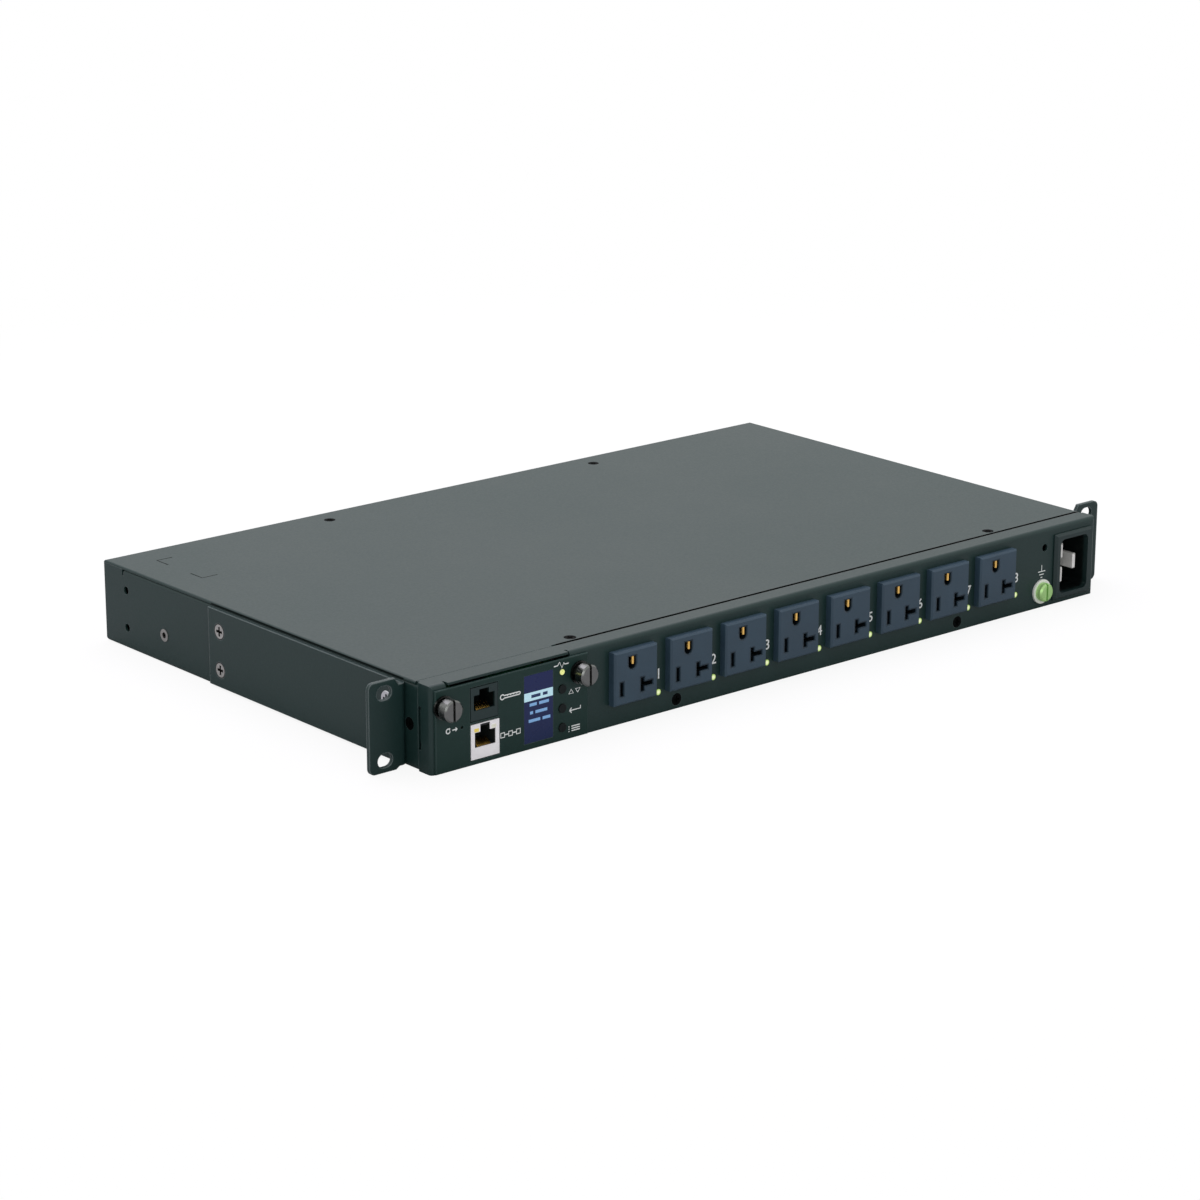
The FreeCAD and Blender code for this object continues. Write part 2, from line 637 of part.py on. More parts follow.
def inward_of(x, inward, near, far):
    """Limits measured inwards from a side wall's outer face."""
    ends = (f"{x} {inward} ({near})", f"{x} {inward} ({far})")
    return ends if inward == "+" else ends[::-1]


def make_front_panel():
    body = body_named("panel_fold")
    pad(body, "XZ_Plane", f"-{FRONT}", [rect(LEFT, RIGHT, "0", TOP)], "top_flange", back=True)
    soften(body, "Fillet", OUTER_BEND, lambda edge: on(edge, y=FRONT) and not on(edge, z="0"))
    back = f"{FRONT} + top_flange"
    hollow(body, "sheet", lambda face: on(face, y=back) or on(face, z="0"))
    bay_y = (f"{FRONT} - {PAST}", f"{FRONT} + {OUTER_BEND}")
    trims = [block("panel_bay", (BAY_LEFT, BAY_RIGHT), bay_y, ("sheet", LEDGE))]
    added = [block("panel_lip", (BAY_LEFT, BAY_RIGHT), (FRONT, bay_y[1]), (LEDGE, TOP))]
    notch = f"{FRONT} + side_flange - flange_slot_width"
    trim = f"{FRONT} + side_flange"
    slot = around("flange_slot_level", "flange_slot_height / 2")
    tab_y = (f"{FRONT} + side_flange - joint_lap", f"{FRONT} + side_flange + joint_tab")
    tab_z = around("side_screw_level", "joint_tab_height / 2")
    for facing, x, inward in SIDES:
        wall = inward_of(x, inward, f"-{PAST}", "sheet")
        past_top = (f"-{PAST}", f"{TOP} + {PAST}")
        trims.append(block(f"panel_trim_{facing}", wall, (trim, f"{back} + {PAST}"), past_top))
        trims.append(block(f"panel_notch_{facing}", wall, (notch, trim), slot))
        tab = inward_of(x, inward, "sheet", "2 * sheet")
        added.append(block(f"panel_tab_{facing}", tab, tab_y, tab_z))
    cover_y = (f"{FRONT} + top_flange - joint_lap", f"{FRONT} + top_flange + joint_tab")
    for number, (x, y) in enumerate(COVER_SCREWS[2:]):
        width = around(x, "cover_tab_width / 2")
        added.append(block(f"panel_ledge_{number}", width, cover_y, (f"{LEDGE} - sheet", LEDGE)))
    solid = join("panel_solid", [cut("panel_trimmed", body, trims)] + added)
    return piece(cut("front_panel", solid, panel_openings()), "front_panel")


def panel_openings():
    """Everything that is punched through the front panel."""
    through = (f"{FRONT} - {PAST}", f"{FRONT} + sheet + {PAST}")
    half_width = "outlet_width / 2 - outlet_shoulder + fit"
    half_height = "outlet_height / 2 - outlet_shoulder + fit"
    tools = []
    for index in range(OUTLETS):
        x = outlet_x(index)
        z = around("outlet_level", half_height)
        tools.append(block(f"outlet_hole_{index}", around(x, half_width), through, z))
        light = f"{x} + {LIGHT_OUT}"
        tools.append(through_panel(f"light_hole_{index}", light, "light_level", "light_radius + fit"))
    inlet_x = around(INLET_X, "inlet_width / 2 - inlet_shoulder + fit")
    inlet_z = around("inlet_level", "inlet_height / 2 - inlet_shoulder + fit")
    tools.append(block("inlet_hole", inlet_x, through, inlet_z))
    tools.append(through_panel("ground_hole", GROUND_X, "ground_level", "ground_thread + fit"))
    retainer = f"{RIGHT} - retainer_inset"
    tools.append(through_panel("retainer_hole", retainer, "retainer_level", "retainer_radius"))
    thumb = "thumb_thread + thumb_hole_gap"
    for number, x in enumerate(THUMB_X):
        tools.append(through_panel(f"thumb_hole_{number}", x, "thumb_level", thumb))
    relief_y = (f"{FRONT} - {PAST}", f"{FRONT} + relief_depth")
    relief_z = (f"{TOP} - relief_depth", f"{TOP} + {PAST}")
    for name, low, high in (
        ("left", f"{BAY_LEFT} - relief_width", BAY_LEFT),
        ("right", BAY_RIGHT, f"{BAY_RIGHT} + relief_width"),
    ):
        tools.append(block(f"panel_relief_{name}", (low, high), relief_y, relief_z))
    tools += panel_screws(screw_hole, "panel_screw_hole")
    tools += cover_screws(screw_hole, "panel_cover_hole")
    tools += side_screws(screw_hole, "panel_side_hole")
    return tools


def make_base_tray():
    body = body_named("tray_fold")
    pad(body, "XY_Plane", "0", [rect(LEFT, RIGHT, TRAY_FRONT, BACK)], LEDGE)

    def folded(edge):
        wall = on(edge, x=LEFT) or on(edge, x=RIGHT) or on(edge, y=BACK)
        return wall and (on(edge, z="0") or on(edge, z=LEDGE))

    soften(body, "Fillet", OUTER_BEND, folded)
    hollow(body, "sheet", lambda face: on(face, y=TRAY_FRONT))
    lip = body_named("tray_lip")
    face = f"{FRONT} + sheet"
    profile = [
        (face, "0"), (TRAY_FRONT, "0"), (TRAY_FRONT, "sheet"), (f"{face} + sheet", "sheet"),
        (f"{face} + sheet", LIP_TOP), (face, LIP_TOP),
    ]
    pad(lip, "YZ_Plane", f"{LEFT} + sheet + seam", [profile], "chassis_width - 2 * (sheet + seam)")
    soften(lip, "Fillet", OUTER_BEND, lambda edge: on(edge, y=face, z="0"))
    soften(lip, "Fillet", "bend", lambda edge: on(edge, y=f"{face} + sheet", z="sheet"))
    posts = []
    reliefs = []
    holes = []
    post_y = (f"{BACK} - rear_post", BACK)
    relief_y = (f"{BACK} - rear_post - relief_width", f"{BACK} - rear_post")
    relief_z = (f"{LEDGE} - relief_depth", f"{LEDGE} + {PAST}")
    for facing, x, inward in SIDES:
        wall = inward_of(x, inward, "0", "sheet")
        posts.append(block(f"tray_post_{facing}", wall, post_y, (f"{LEDGE} - {OUTER_BEND}", LEDGE)))
        relief_x = inward_of(x, inward, f"-{PAST}", OUTER_BEND)
        reliefs.append(block(f"tray_relief_{facing}", relief_x, relief_y, relief_z))
        start = f"{x} {inward} (sheet + {PAST})"
        depth = f"sheet + 2 * {PAST}"
        for number, step in enumerate(STEPS):
            level = f"spare_hole_level {step}"
            y = f"{BACK} - spare_hole_inset"
            name = f"spare_hole_{facing}_{number}"
            holes.append(rod(name, facing, start, y, level, "large_thread + fit", depth))
        y = f"{BACK} - insert_inset"
        name = f"insert_hole_{facing}"
        holes.append(rod(name, facing, start, y, "insert_level", "insert_radius + fit", depth))
    window = block(
        "tray_window",
        (f"{LEFT} + side_lip", f"{RIGHT} - side_lip"),
        (f"{TRAY_FRONT} - {PAST}", f"{BACK} - rear_flange"),
        (f"{LEDGE} - sheet - {PAST}", f"{LEDGE} + {PAST}"),
    )
    lip_y = (FRONT, TRAY_FRONT)
    lip_z = ("sheet", f"{LIP_TOP} + {PAST}")
    lip_left = block("lip_trim_left", (LEFT, f"{BAY_RIGHT} + sled_gap"), lip_y, lip_z)
    lip_right = block("lip_trim_right", (f"{RIGHT} - front_lip_end", RIGHT), lip_y, lip_z)
    solid = join("tray_solid", [body, cut("tray_lip_cut", lip, [lip_left, lip_right])] + posts)
    holes += bracket_screws(screw_hole, "tray_bracket_hole")
    holes += side_screws(screw_hole, "tray_side_hole")
    holes += cover_screws(screw_hole, "tray_cover_hole")
    holes += panel_screws(screw_hole, "tray_panel_hole")
    return piece(cut("base_tray", solid, [window] + reliefs + holes), "base_tray")


def make_top_cover():
    body = body_named("cover_plate")
    pad(body, "XY_Plane", LEDGE, [rect(LEFT, RIGHT, COVER_FRONT, BACK)], "sheet")

    def outer(edge):
        return on(edge, z=TOP) and (on(edge, x=LEFT) or on(edge, x=RIGHT) or on(edge, y=BACK))

    soften(body, "Fillet", "cover_round", outer)
    seam = block(
        "cover_seam",
        (BAY_RIGHT, f"{RIGHT} - {OUTER_BEND}"),
        (f"{COVER_FRONT} - {PAST}", f"{COVER_FRONT} + wide_seam"),
        (f"{LEDGE} - {PAST}", f"{TOP} + {PAST}"),
    )
    tools = [seam] + cover_screws(screw_hole, "cover_hole")
    return piece(cut("top_cover", body, tools), "top_cover")


def make_brackets():
    body = body_named("bracket_fold")
    face = f"({FRONT} + ear_setback)"
    back = f"({FRONT} + bracket_back)"
    plate = f"({LEFT} - bracket_sheet)"
    ear_end = f"({LEFT} - ear_reach)"
    profile = [
        (LEFT, face), (LEFT, back), (plate, back), (plate, f"{face} + bracket_sheet"),
        (ear_end, f"{face} + bracket_sheet"), (ear_end, face),
    ]
    pad(body, "XY_Plane", "0", [profile], "ear_height")
    soften(body, "Fillet", "bend + bracket_sheet", lambda edge: on(edge, x=LEFT, y=face))
    soften(body, "Fillet", "bend", lambda edge: on(edge, x=plate, y=f"{face} + bracket_sheet"))

    def ear_corner(edge):
        return on(edge, x=ear_end) and (on(edge, z="0") or on(edge, z="ear_height"))

    soften(body, "Fillet", "ear_round", ear_corner)
    root = f"({plate} - bend - ear_root)"
    slope = f"({root} - ear_slope)"
    lower = [
        (f"{LEFT} + {PAST}", f"-{PAST}"), (f"{LEFT} + {PAST}", "bracket_low"),
        (root, "bracket_low"), (slope, "0"), (slope, f"-{PAST}"),
    ]
    upper = [
        (f"{LEFT} + {PAST}", f"ear_height + {PAST}"), (f"{LEFT} + {PAST}", "bracket_high"),
        (root, "bracket_high"), (slope, "ear_height"), (slope, f"ear_height + {PAST}"),
    ]
    pocket(body, "XZ_Plane", f"-({face} - {PAST})", [lower, upper], f"bracket_back + {PAST}")
    tools = []
    slot_x = f"({LEFT} - rack_slot_reach)"
    through = (f"{face} - {PAST}", f"{face} + bracket_sheet + {PAST}")
    depth = f"bracket_sheet + 2 * {PAST}"
    for number, level in enumerate(("rack_slot_inset", "(ear_height - rack_slot_inset)")):
        reach = "((rack_slot_length - rack_slot_width) / 2)"
        z = around(level, "rack_slot_width / 2")
        middle = block(f"rack_slot_{number}", around(slot_x, reach), through, z)
        ends = [
            rod(f"rack_slot_end_{number}_{end}", "front", f"{slot_x} {way} {reach}", through[1],
                level, "rack_slot_width / 2", depth)
            for end, way in enumerate("-+")
        ]
        tools += [middle] + ends
    tools += bracket_screws(screw_hole, "bracket_hole")[:2]
    left = piece(cut("bracket_left", body, tools), "bracket_left")
    right = doc.addObject("Part::Mirroring", "bracket_right")
    right.Source = left
    right.Normal = FreeCAD.Vector(1, 0, 0)
    piece(right, "bracket_right")


def make_case_fasteners():
    piece(group("bracket_screws", bracket_screws(flat_screw, "bracket_screw")), "bracket_screws")
    screws = cover_screws(flat_screw, "cover_screw")
    screws += panel_screws(flat_screw, "panel_screw")
    screws += side_screws(flat_screw, "side_screw")
    piece(group("case_screws", screws), "case_screws")
    rings = []
    for facing, x, inward in SIDES:
        start = f"{x} {inward} (insert_length - insert_proud)"
        y = f"{BACK} - insert_inset"
        outside = rod(f"insert_{facing}", facing, start, y, "insert_level", "insert_radius", "insert_length")
        bore = rod(f"insert_bore_{facing}", facing, start, y, "insert_level", "insert_bore", "insert_length")
        rings.append(cut(f"insert_ring_{facing}", outside, [bore]))
    piece(group("side_inserts", rings), "side_inserts")


def make_outlet(index):
    """A receptacle with a straight slot, a tee slot and a ground hole."""
    body = body_named(f"outlet_body_{index + 1}")
    x = outlet_x(index)
    line = f"({x} - contact_shift - blade_spacing / 2)"
    neutral = f"({x} - contact_shift + blade_spacing / 2)"
    ground = f"({x} - contact_shift)"
    face = f"({FRONT} - outlet_proud)"

    def frame(inset):
        half = f"(outlet_width / 2 - {inset})"
        tall = f"(outlet_height / 2 - {inset})"
        return rect(*around(x, half), *around("outlet_level", tall))

    pad(body, "XZ_Plane", f"-{FRONT}", [frame("0")], "outlet_proud")
    soften(body, "Chamfer", "outlet_bevel", lambda edge: on(edge, y=face))
    pad(body, "XZ_Plane", f"-{FRONT}", [frame("outlet_shoulder")], "outlet_depth", back=True)
    blade_half = "clip_gap / 2 + leaf + contact_clearance"
    ground_half = "ground_clip_gap / 2 + leaf + contact_clearance"
    blade_z = around(BLADE_LEVEL, "clip_height / 2 + contact_clearance")
    ground_z = around(GROUND_HOLE_LEVEL, "ground_clip_height / 2 + contact_clearance")
    chambers = [
        rect(*around(line, blade_half), *blade_z),
        rect(f"{neutral} - ({blade_half})", f"{neutral} + tee_reach", *blade_z),
        rect(*around(ground, ground_half), *ground_z),
    ]
    chamber_depth = "outlet_depth + outlet_proud - outlet_wall"
    pocket(body, "XZ_Plane", f"-({FRONT} + outlet_depth)", chambers, chamber_depth, back=True)
    slot_depth = "outlet_wall + contact_clearance"
    slot_z = around(BLADE_LEVEL, "slot_height / 2")
    round_level = f"{GROUND_HOLE_LEVEL} - ground_height / 2 + ground_width / 2"
    slots = [
        rect(*around(line, "slot_width / 2"), *slot_z),
        rect(*around(neutral, "slot_width / 2"), *slot_z),
        rect(*around(ground, "ground_width / 2"), round_level, f"{GROUND_HOLE_LEVEL} + ground_height / 2"),
    ]
    pocket(body, "XZ_Plane", f"-{face}", slots, slot_depth)
    arms = [
        rect(neutral, f"{neutral} + tee_reach", *around(BLADE_LEVEL, "slot_width / 2")),
        (ground, round_level, "ground_width / 2"),
    ]
    pocket(body, "XZ_Plane", f"-{face}", arms, slot_depth)
    return piece(body, f"outlet_{index + 1}")


def clip(name, x, level, gap, height):
    """A folded brass clip, open to the front."""
    body = body_named(name)
    inner = f"({gap} / 2)"
    outer = f"({gap} / 2 + leaf)"
    profile = [
        (f"{x} - {outer}", CLIP_FRONT), (f"{x} - {inner}", CLIP_FRONT),
        (f"{x} - {inner}", f"{CLIP_BACK} - leaf"), (f"{x} + {inner}", f"{CLIP_BACK} - leaf"),
        (f"{x} + {inner}", CLIP_FRONT), (f"{x} + {outer}", CLIP_FRONT),
        (f"{x} + {outer}", CLIP_BACK), (f"{x} - {outer}", CLIP_BACK),
    ]
    pad(body, "XY_Plane", f"{level} - {height} / 2", [profile], height)
    return body


def make_contacts():
    line_clips = []
    neutral_parts = []
    earth_parts = []
    tail_half = "leaf / 2"
    blade_low = f"{BLADE_LEVEL} - clip_height / 2"
    blade_top = f"{BLADE_LEVEL} + clip_height / 2"
    earth_z = around(GROUND_HOLE_LEVEL, "bar_height / 2")
    for index in range(OUTLETS):
        middle = f"({outlet_x(index)} - contact_shift)"
        line = f"({middle} - blade_spacing / 2)"
        neutral = f"({middle} + blade_spacing / 2)"
        line_z = (f"{blade_low} + bar_height + 2 * contact_clearance", blade_top)
        line_tail = block(f"line_tail_{index}", around(line, tail_half), (CLIP_BACK, BOARD_FRONT), line_z)
        line_clip = clip(f"line_leaves_{index}", line, BLADE_LEVEL, "clip_gap", "clip_height")
        line_clips.append(join(f"line_clip_{index}", [line_clip, line_tail]))
        tail_y = (CLIP_BACK, BAR_BACK)
        blade_z = (blade_low, blade_top)
        neutral_parts.append(clip(f"neutral_leaves_{index}", neutral, BLADE_LEVEL, "clip_gap", "clip_height"))
        neutral_parts.append(block(f"neutral_tail_{index}", around(neutral, tail_half), tail_y, blade_z))
        earth_parts.append(clip(
            f"earth_leaves_{index}", middle, GROUND_HOLE_LEVEL, "ground_clip_gap", "ground_clip_height"
        ))
        earth_parts.append(block(f"earth_tail_{index}", around(middle, tail_half), tail_y, earth_z))
    piece(group("line_clips", line_clips), "line_clips")
    start = f"{outlet_x(0)} - contact_shift"
    end = f"{outlet_x(OUTLETS - 1)} + bar_end"
    end_x = (f"{end} - bar_height", end)
    for name, parts, z in (
        ("neutral_bar", neutral_parts, (blade_low, f"{blade_low} + bar_height")),
        ("earth_bar", earth_parts, earth_z),
    ):
        parts.append(block(f"{name}_strip", (start, end), (BAR_FRONT, BAR_BACK), z))
        parts.append(block(f"{name}_tab", end_x, (BAR_FRONT, BOARD_FRONT), z))
        piece(join(name, parts), name)


def make_outlet_lights():
    lights = []
    for index in range(OUTLETS):
        x = f"{outlet_x(index)} + {LIGHT_OUT}"
        lights.append(turned(f"outlet_light_{index}", x, "light_level", [
            ("0", f"{FRONT} - light_proud"),
            ("light_radius", f"{FRONT} - light_proud"),
            ("light_radius", f"{FRONT} + sheet"),
            ("light_radius + light_rim", f"{FRONT} + sheet"),
            ("light_radius + light_rim", f"{FRONT} + 2 * sheet"),
            ("0", f"{FRONT} + 2 * sheet"),
        ]))
    piece(group("outlet_lights", lights), "outlet_lights")


LIVE_SETBACK = "(pin_setback + earth_ahead)"
# Line, neutral and earth blades: place across, height, and tip behind the panel face.
PINS = (
    ("line", f"({INLET_X} - pin_offset / 2)", "(inlet_level + pin_spacing / 2)", LIVE_SETBACK),
    ("neutral", f"({INLET_X} - pin_offset / 2)", "(inlet_level - pin_spacing / 2)", LIVE_SETBACK),
    ("earth", f"({INLET_X} + pin_offset / 2)", "inlet_level", "pin_setback"),
)


def make_inlet():
    body = body_named("inlet_body")
    face = f"({FRONT} - inlet_proud)"
    floor = f"({face} + recess_depth)"

    def frame(width, height):
        return rect(*around(INLET_X, width), *around("inlet_level", height))

    pad(body, "XZ_Plane", f"-{FRONT}", [frame("inlet_width / 2", "inlet_height / 2")], "inlet_proud")
    soften(body, "Chamfer", "inlet_bevel", lambda edge: on(edge, y=face))
    rear = frame("inlet_width / 2 - inlet_shoulder", "inlet_height / 2 - inlet_shoulder")
    pad(body, "XZ_Plane", f"-{FRONT}", [rear], "inlet_depth", back=True)
    recess = frame("recess_width / 2", "recess_height / 2")
    pocket(body, "XZ_Plane", f"-{face}", [recess], "recess_depth")
    corners = [(size(x), size(z)) for x, z in recess]

    def recess_corner(edge):
        ends = [vertex.Point for vertex in edge.Vertexes]
        return any(
            all(abs(end.x - x) < TOUCH and abs(end.z - z) < TOUCH for end in ends) for x, z in corners
        )

    soften(body, "Fillet", "recess_round", recess_corner)
    holes = [
        rect(*around(x, "pin_thickness / 2 + fit"), *around(z, "pin_height / 2 + fit"))
        for name, x, z, setback in PINS
    ]
    pocket(body, "XZ_Plane", f"-{floor}", holes, "inlet_depth + inlet_proud - recess_depth")
    piece(body, "inlet_housing")
    for name, x, z, setback in PINS:
        blade = body_named(f"{name}_blade")
        tip = f"({FRONT} + {setback})"
        section = rect(*around(x, "pin_thickness / 2"), *around(z, "pin_height / 2"))
        pad(blade, "XZ_Plane", f"-{tip}", [section], f"inlet_depth + pin_tail - {setback}", back=True)
        soften(blade, "Chamfer", "pin_round", lambda edge: on(edge, y=tip))
        piece(blade, f"inlet_{name}_blade")


def make_leads():
    """Insulated leads that loop from the inlet's tails to the outlet board."""
    radius = size("lead_radius")
    bend = size("lead_bend")
    slack = bend * (1 - 0.5 ** 0.5)
    start_y = size(f"{FRONT} + inlet_depth + pin_tail")
    far_y = size(f"{FRONT} + inlet_depth + pin_tail + lead_reach")
    end_y = size(BOARD_BACK)
    end_x = size(f"{outlet_x(OUTLETS - 1)} + relay_width / 2 + lead_gap + lead_radius")
    for name, x, z, setback in PINS:
        level = size(z)
        start_x = size(x)

        def at(across, depth):
            return FreeCAD.Vector(across, depth, level)

        first = at(start_x, start_y)
        last = at(end_x, end_y)
        near_turn = Part.Arc(
            at(start_x, far_y - bend), at(start_x - slack, far_y - slack), at(start_x - bend, far_y)
        )
        far_turn = Part.Arc(
            at(end_x + bend, far_y), at(end_x + slack, far_y - slack), at(end_x, far_y - bend)
        )
        path = Part.Wire([
            Part.LineSegment(first, near_turn.StartPoint).toShape(),
            near_turn.toShape(),
            Part.LineSegment(near_turn.EndPoint, far_turn.StartPoint).toShape(),
            far_turn.toShape(),
            Part.LineSegment(far_turn.EndPoint, last).toShape(),
        ])
        section = Part.Wire(Part.makeCircle(radius, first, FreeCAD.Vector(0, 1, 0)))
        item = doc.addObject("Part::Feature", f"{name}_lead")
        item.Shape = path.makePipeShell([section], True, False)
        piece(item, f"{name}_lead")


def make_ground_screw():
    seat = f"{FRONT} - washer_sheet"
    washer = turned("ground_washer", GROUND_X, "ground_level", [
        ("ground_thread + fit", seat),
        ("washer_radius", seat),
        ("washer_radius", FRONT),
        ("ground_thread + fit", FRONT),
    ])
    piece(washer, "ground_washer")
    top = f"{seat} - ground_head_height"
    screw = turned("ground_screw_blank", GROUND_X, "ground_level", [
        ("0", top),
        ("ground_head - ground_bevel", top),
        ("ground_head", f"{top} + ground_bevel"),
        ("ground_head", seat),
        ("ground_thread", seat),
        ("ground_thread", f"{FRONT} + ground_length"),
        ("0", f"{FRONT} + ground_length"),
    ])
    piece(driven("ground_screw", screw, GROUND_X, "ground_level", top, "ground_head"), "ground_screw")


def driven(name, screw, x, z, top, radius):
    """A screw with a screwdriver slot across its head."""
    slot = block(
        f"{name}_slot",
        around(x, "driver_slot / 2"),
        (f"{top} - {PAST}", f"{top} + driver_depth"),
        around(z, f"{radius} + {PAST}"),
    )
    return cut(name, screw, [slot])


def make_boards():
    low_x = f"{outlet_x(0)} - board_margin"
    high_x = f"{outlet_x(OUTLETS - 1)} + board_margin"
    board_z = ("sheet + board_rise", f"{LEDGE} - board_clear")
    board = block("outlet_board", (low_x, high_x), (BOARD_FRONT, BOARD_BACK), board_z)
    piece(board, "outlet_board")
    relays = []
    for index in range(OUTLETS):
        x = around(outlet_x(index), "relay_width / 2")
        z = around(f"(({board_z[0]} + {board_z[1]}) / 2)", "relay_height / 2")
        relays.append(block(f"relay_{index}", x, (BOARD_BACK, f"{BOARD_BACK} + relay_depth"), z))
    piece(group("relays", relays), "relays")
    deck = "(sheet + standoff_height)"
    board_top = f"({deck} + board_sheet)"
    front = f"({FRONT} + supply_setback)"
    back = f"({front} + supply_depth)"
    width = around(ROW_MIDDLE, "supply_width / 2")
    plate = block("supply_plate", width, (front, back), (deck, board_top))
    standoffs = []
    screws = []
    holes = []
    for sign in "-+":
        for y in (f"{front} + standoff_inset", f"{back} - standoff_inset"):
            x = f"{ROW_MIDDLE} {sign} (supply_width / 2 - standoff_inset)"
            number = len(standoffs)
            post = rod(f"standoff_post_{number}", "up", x, y, "sheet", "standoff_radius", "standoff_height")
            bore = rod(f"standoff_bore_{number}", "up", x, y, f"{deck} - small_length", "small_thread + fit",
                       "small_length")
            standoffs.append(cut(f"standoff_{number}", post, [bore]))
            head = rod(f"board_head_{number}", "up", x, y, board_top, "small_head", "board_sheet")
            shank = rod(f"board_shank_{number}", "up", x, y, f"{board_top} - small_length", "small_thread",
                        "small_length")
            screws.append(join(f"board_screw_{number}", [head, shank]))
            holes.append(rod(f"board_hole_{number}", "up", x, y, deck, "small_thread + fit", "board_sheet"))
    piece(cut("supply_board", plate, holes), "supply_board")
    piece(group("board_standoffs", standoffs), "board_standoffs")
    piece(group("board_screws", screws), "board_screws")
    core_left = f"({width[0]} + transformer_inset)"
    core_x = (core_left, f"{core_left} + transformer_width")
    core_y = around(f"({front} + {back}) / 2", "transformer_depth / 2")
    core = body_named("transformer_core")
    pad(core, "XY_Plane", board_top, [rect(*core_x, *core_y)], "transformer_height")
    soften(core, "Chamfer", "transformer_bevel", lambda edge: on(edge, z=f"{board_top} + transformer_height"))
    piece(core, "supply_transformer")
    can_x = f"{width[1]} - capacitor_inset - capacitor_radius"
    can_y = f"({front} + {back}) / 2"
    can = rod("supply_capacitor", "up", can_x, can_y, board_top, "capacitor_radius", "capacitor_height")
    piece(can, "supply_capacitor")


def make_divider():
    body = body_named("divider_fold")
    wall = f"({BAY_RIGHT} + divider_gap)"
    rim = f"({LEDGE} - divider_clear)"
    profile = [
        (wall, "sheet"), (f"{wall} + divider_foot", "sheet"), (f"{wall} + divider_foot", "2 * sheet"),
        (f"{wall} + sheet", "2 * sheet"), (f"{wall} + sheet", rim), (wall, rim),
    ]
    pad(body, "XZ_Plane", f"-({FRONT} + divider_front)", [profile], "divider_depth", back=True)
    soften(body, "Fillet", OUTER_BEND, lambda edge: on(edge, x=wall, z="sheet"))
    soften(body, "Fillet", "bend", lambda edge: on(edge, x=f"{wall} + sheet", z="2 * sheet"))
    piece(body, "bay_divider")


# Heights of the three buttons, from the lowest up.
BUTTONS = (
    ("menu_button", "button_level"),
    ("select_button", "(button_level + button_step)"),
    ("scroll_button", "(button_level + 2 * button_step)"),
)


def make_faceplate():
    body = body_named("faceplate_blank")
    outline = rect(PLATE_LEFT, PLATE_RIGHT, "plate_level", f"{LEDGE} - plate_clear")
    pad(body, "XZ_Plane", f"-{PLATE_BACK}", [outline], "plate_sheet")
    soften(body, "Chamfer", "plate_round", lambda edge: on(edge, y=PLATE_FRONT))
    through = (f"{PLATE_FRONT} - {PAST}", f"{PLATE_BACK} + {PAST}")

    def port(name, left, width, low, height, gap):
        x = (f"{left} - {gap}", f"{left} + {width} + {gap}")
        return block(name, x, through, (f"{low} - {gap}", f"{low} + {height} + {gap}"))

    display_left = f"{PLATE_LEFT} + display_inset"
    tools = [
        port("sensor_port", JACK_LEFT, "sensor_width", SENSOR_LEVEL, "sensor_height", "port_gap"),
        port("network_port", JACK_LEFT, "network_width", NETWORK_LEVEL, "network_height", "port_gap"),
        port("display_port", display_left, "display_width", DISPLAY_LEVEL, "display_height", "fit"),
        through_panel("status_hole", BUTTON_X, "status_level", "status_radius + fit"),
        through_panel("reset_pinhole", RESET_X, "reset_level", "reset_hole"),
    ]
    for name, level in BUTTONS:
        tools.append(through_panel(f"{name}_hole", BUTTON_X, level, "button_radius + button_gap"))
    for number, x in enumerate(THUMB_X):
        tools.append(through_panel(f"ferrule_hole_{number}", x, "thumb_level", "ferrule_barrel + fit"))
    piece(cut("controller_faceplate", body, tools), "controller_faceplate")


def make_sled():
    body = body_named("sled_fold")
    inner_left = f"{SLED_LEFT} + sled_sheet"
    inner_right = f"{SLED_RIGHT} - sled_sheet"
    profile = [
        (SLED_LEFT, SLED_FLOOR), (SLED_RIGHT, SLED_FLOOR), (SLED_RIGHT, SLED_RIM), (inner_right, SLED_RIM),
        (inner_right, SLED_DECK), (inner_left, SLED_DECK), (inner_left, SLED_RIM), (SLED_LEFT, SLED_RIM),
    ]
    pad(body, "XZ_Plane", f"-{PLATE_BACK}", [profile], f"{PLUG_BACK} - {PLATE_BACK}", back=True)
    soften(body, "Fillet", "bend", lambda edge: on(edge, z=SLED_FLOOR) and (
        on(edge, x=SLED_LEFT) or on(edge, x=SLED_RIGHT)))
    bosses = []
    for x in (f"{inner_left} + boss_inset", f"{inner_right} - boss_inset"):
        for y in (f"{CONTROL_FRONT} + boss_inset", f"{CONTROL_BACK} - boss_inset"):
            name = f"sled_boss_{len(bosses)}"
            bosses.append(rod(name, "up", x, y, SLED_DECK, "boss_radius", "control_rise"))
    piece(join("controller_sled", [body] + bosses), "controller_sled")


def make_controller_boards():
    x = (f"{SLED_LEFT} + sled_sheet + fit", f"{SLED_RIGHT} - sled_sheet - fit")
    upright_y = (INTERFACE, CONTROL_FRONT)
    upright_z = (SLED_DECK, f"{SLED_RIM} - interface_clear")
    piece(block("interface_board", x, upright_y, upright_z), "interface_board")
    flat_z = (CONTROL_LEVEL, f"{CONTROL_LEVEL} + board_sheet")
    piece(block("controller_board", x, (CONTROL_FRONT, CONTROL_BACK), flat_z), "controller_board")


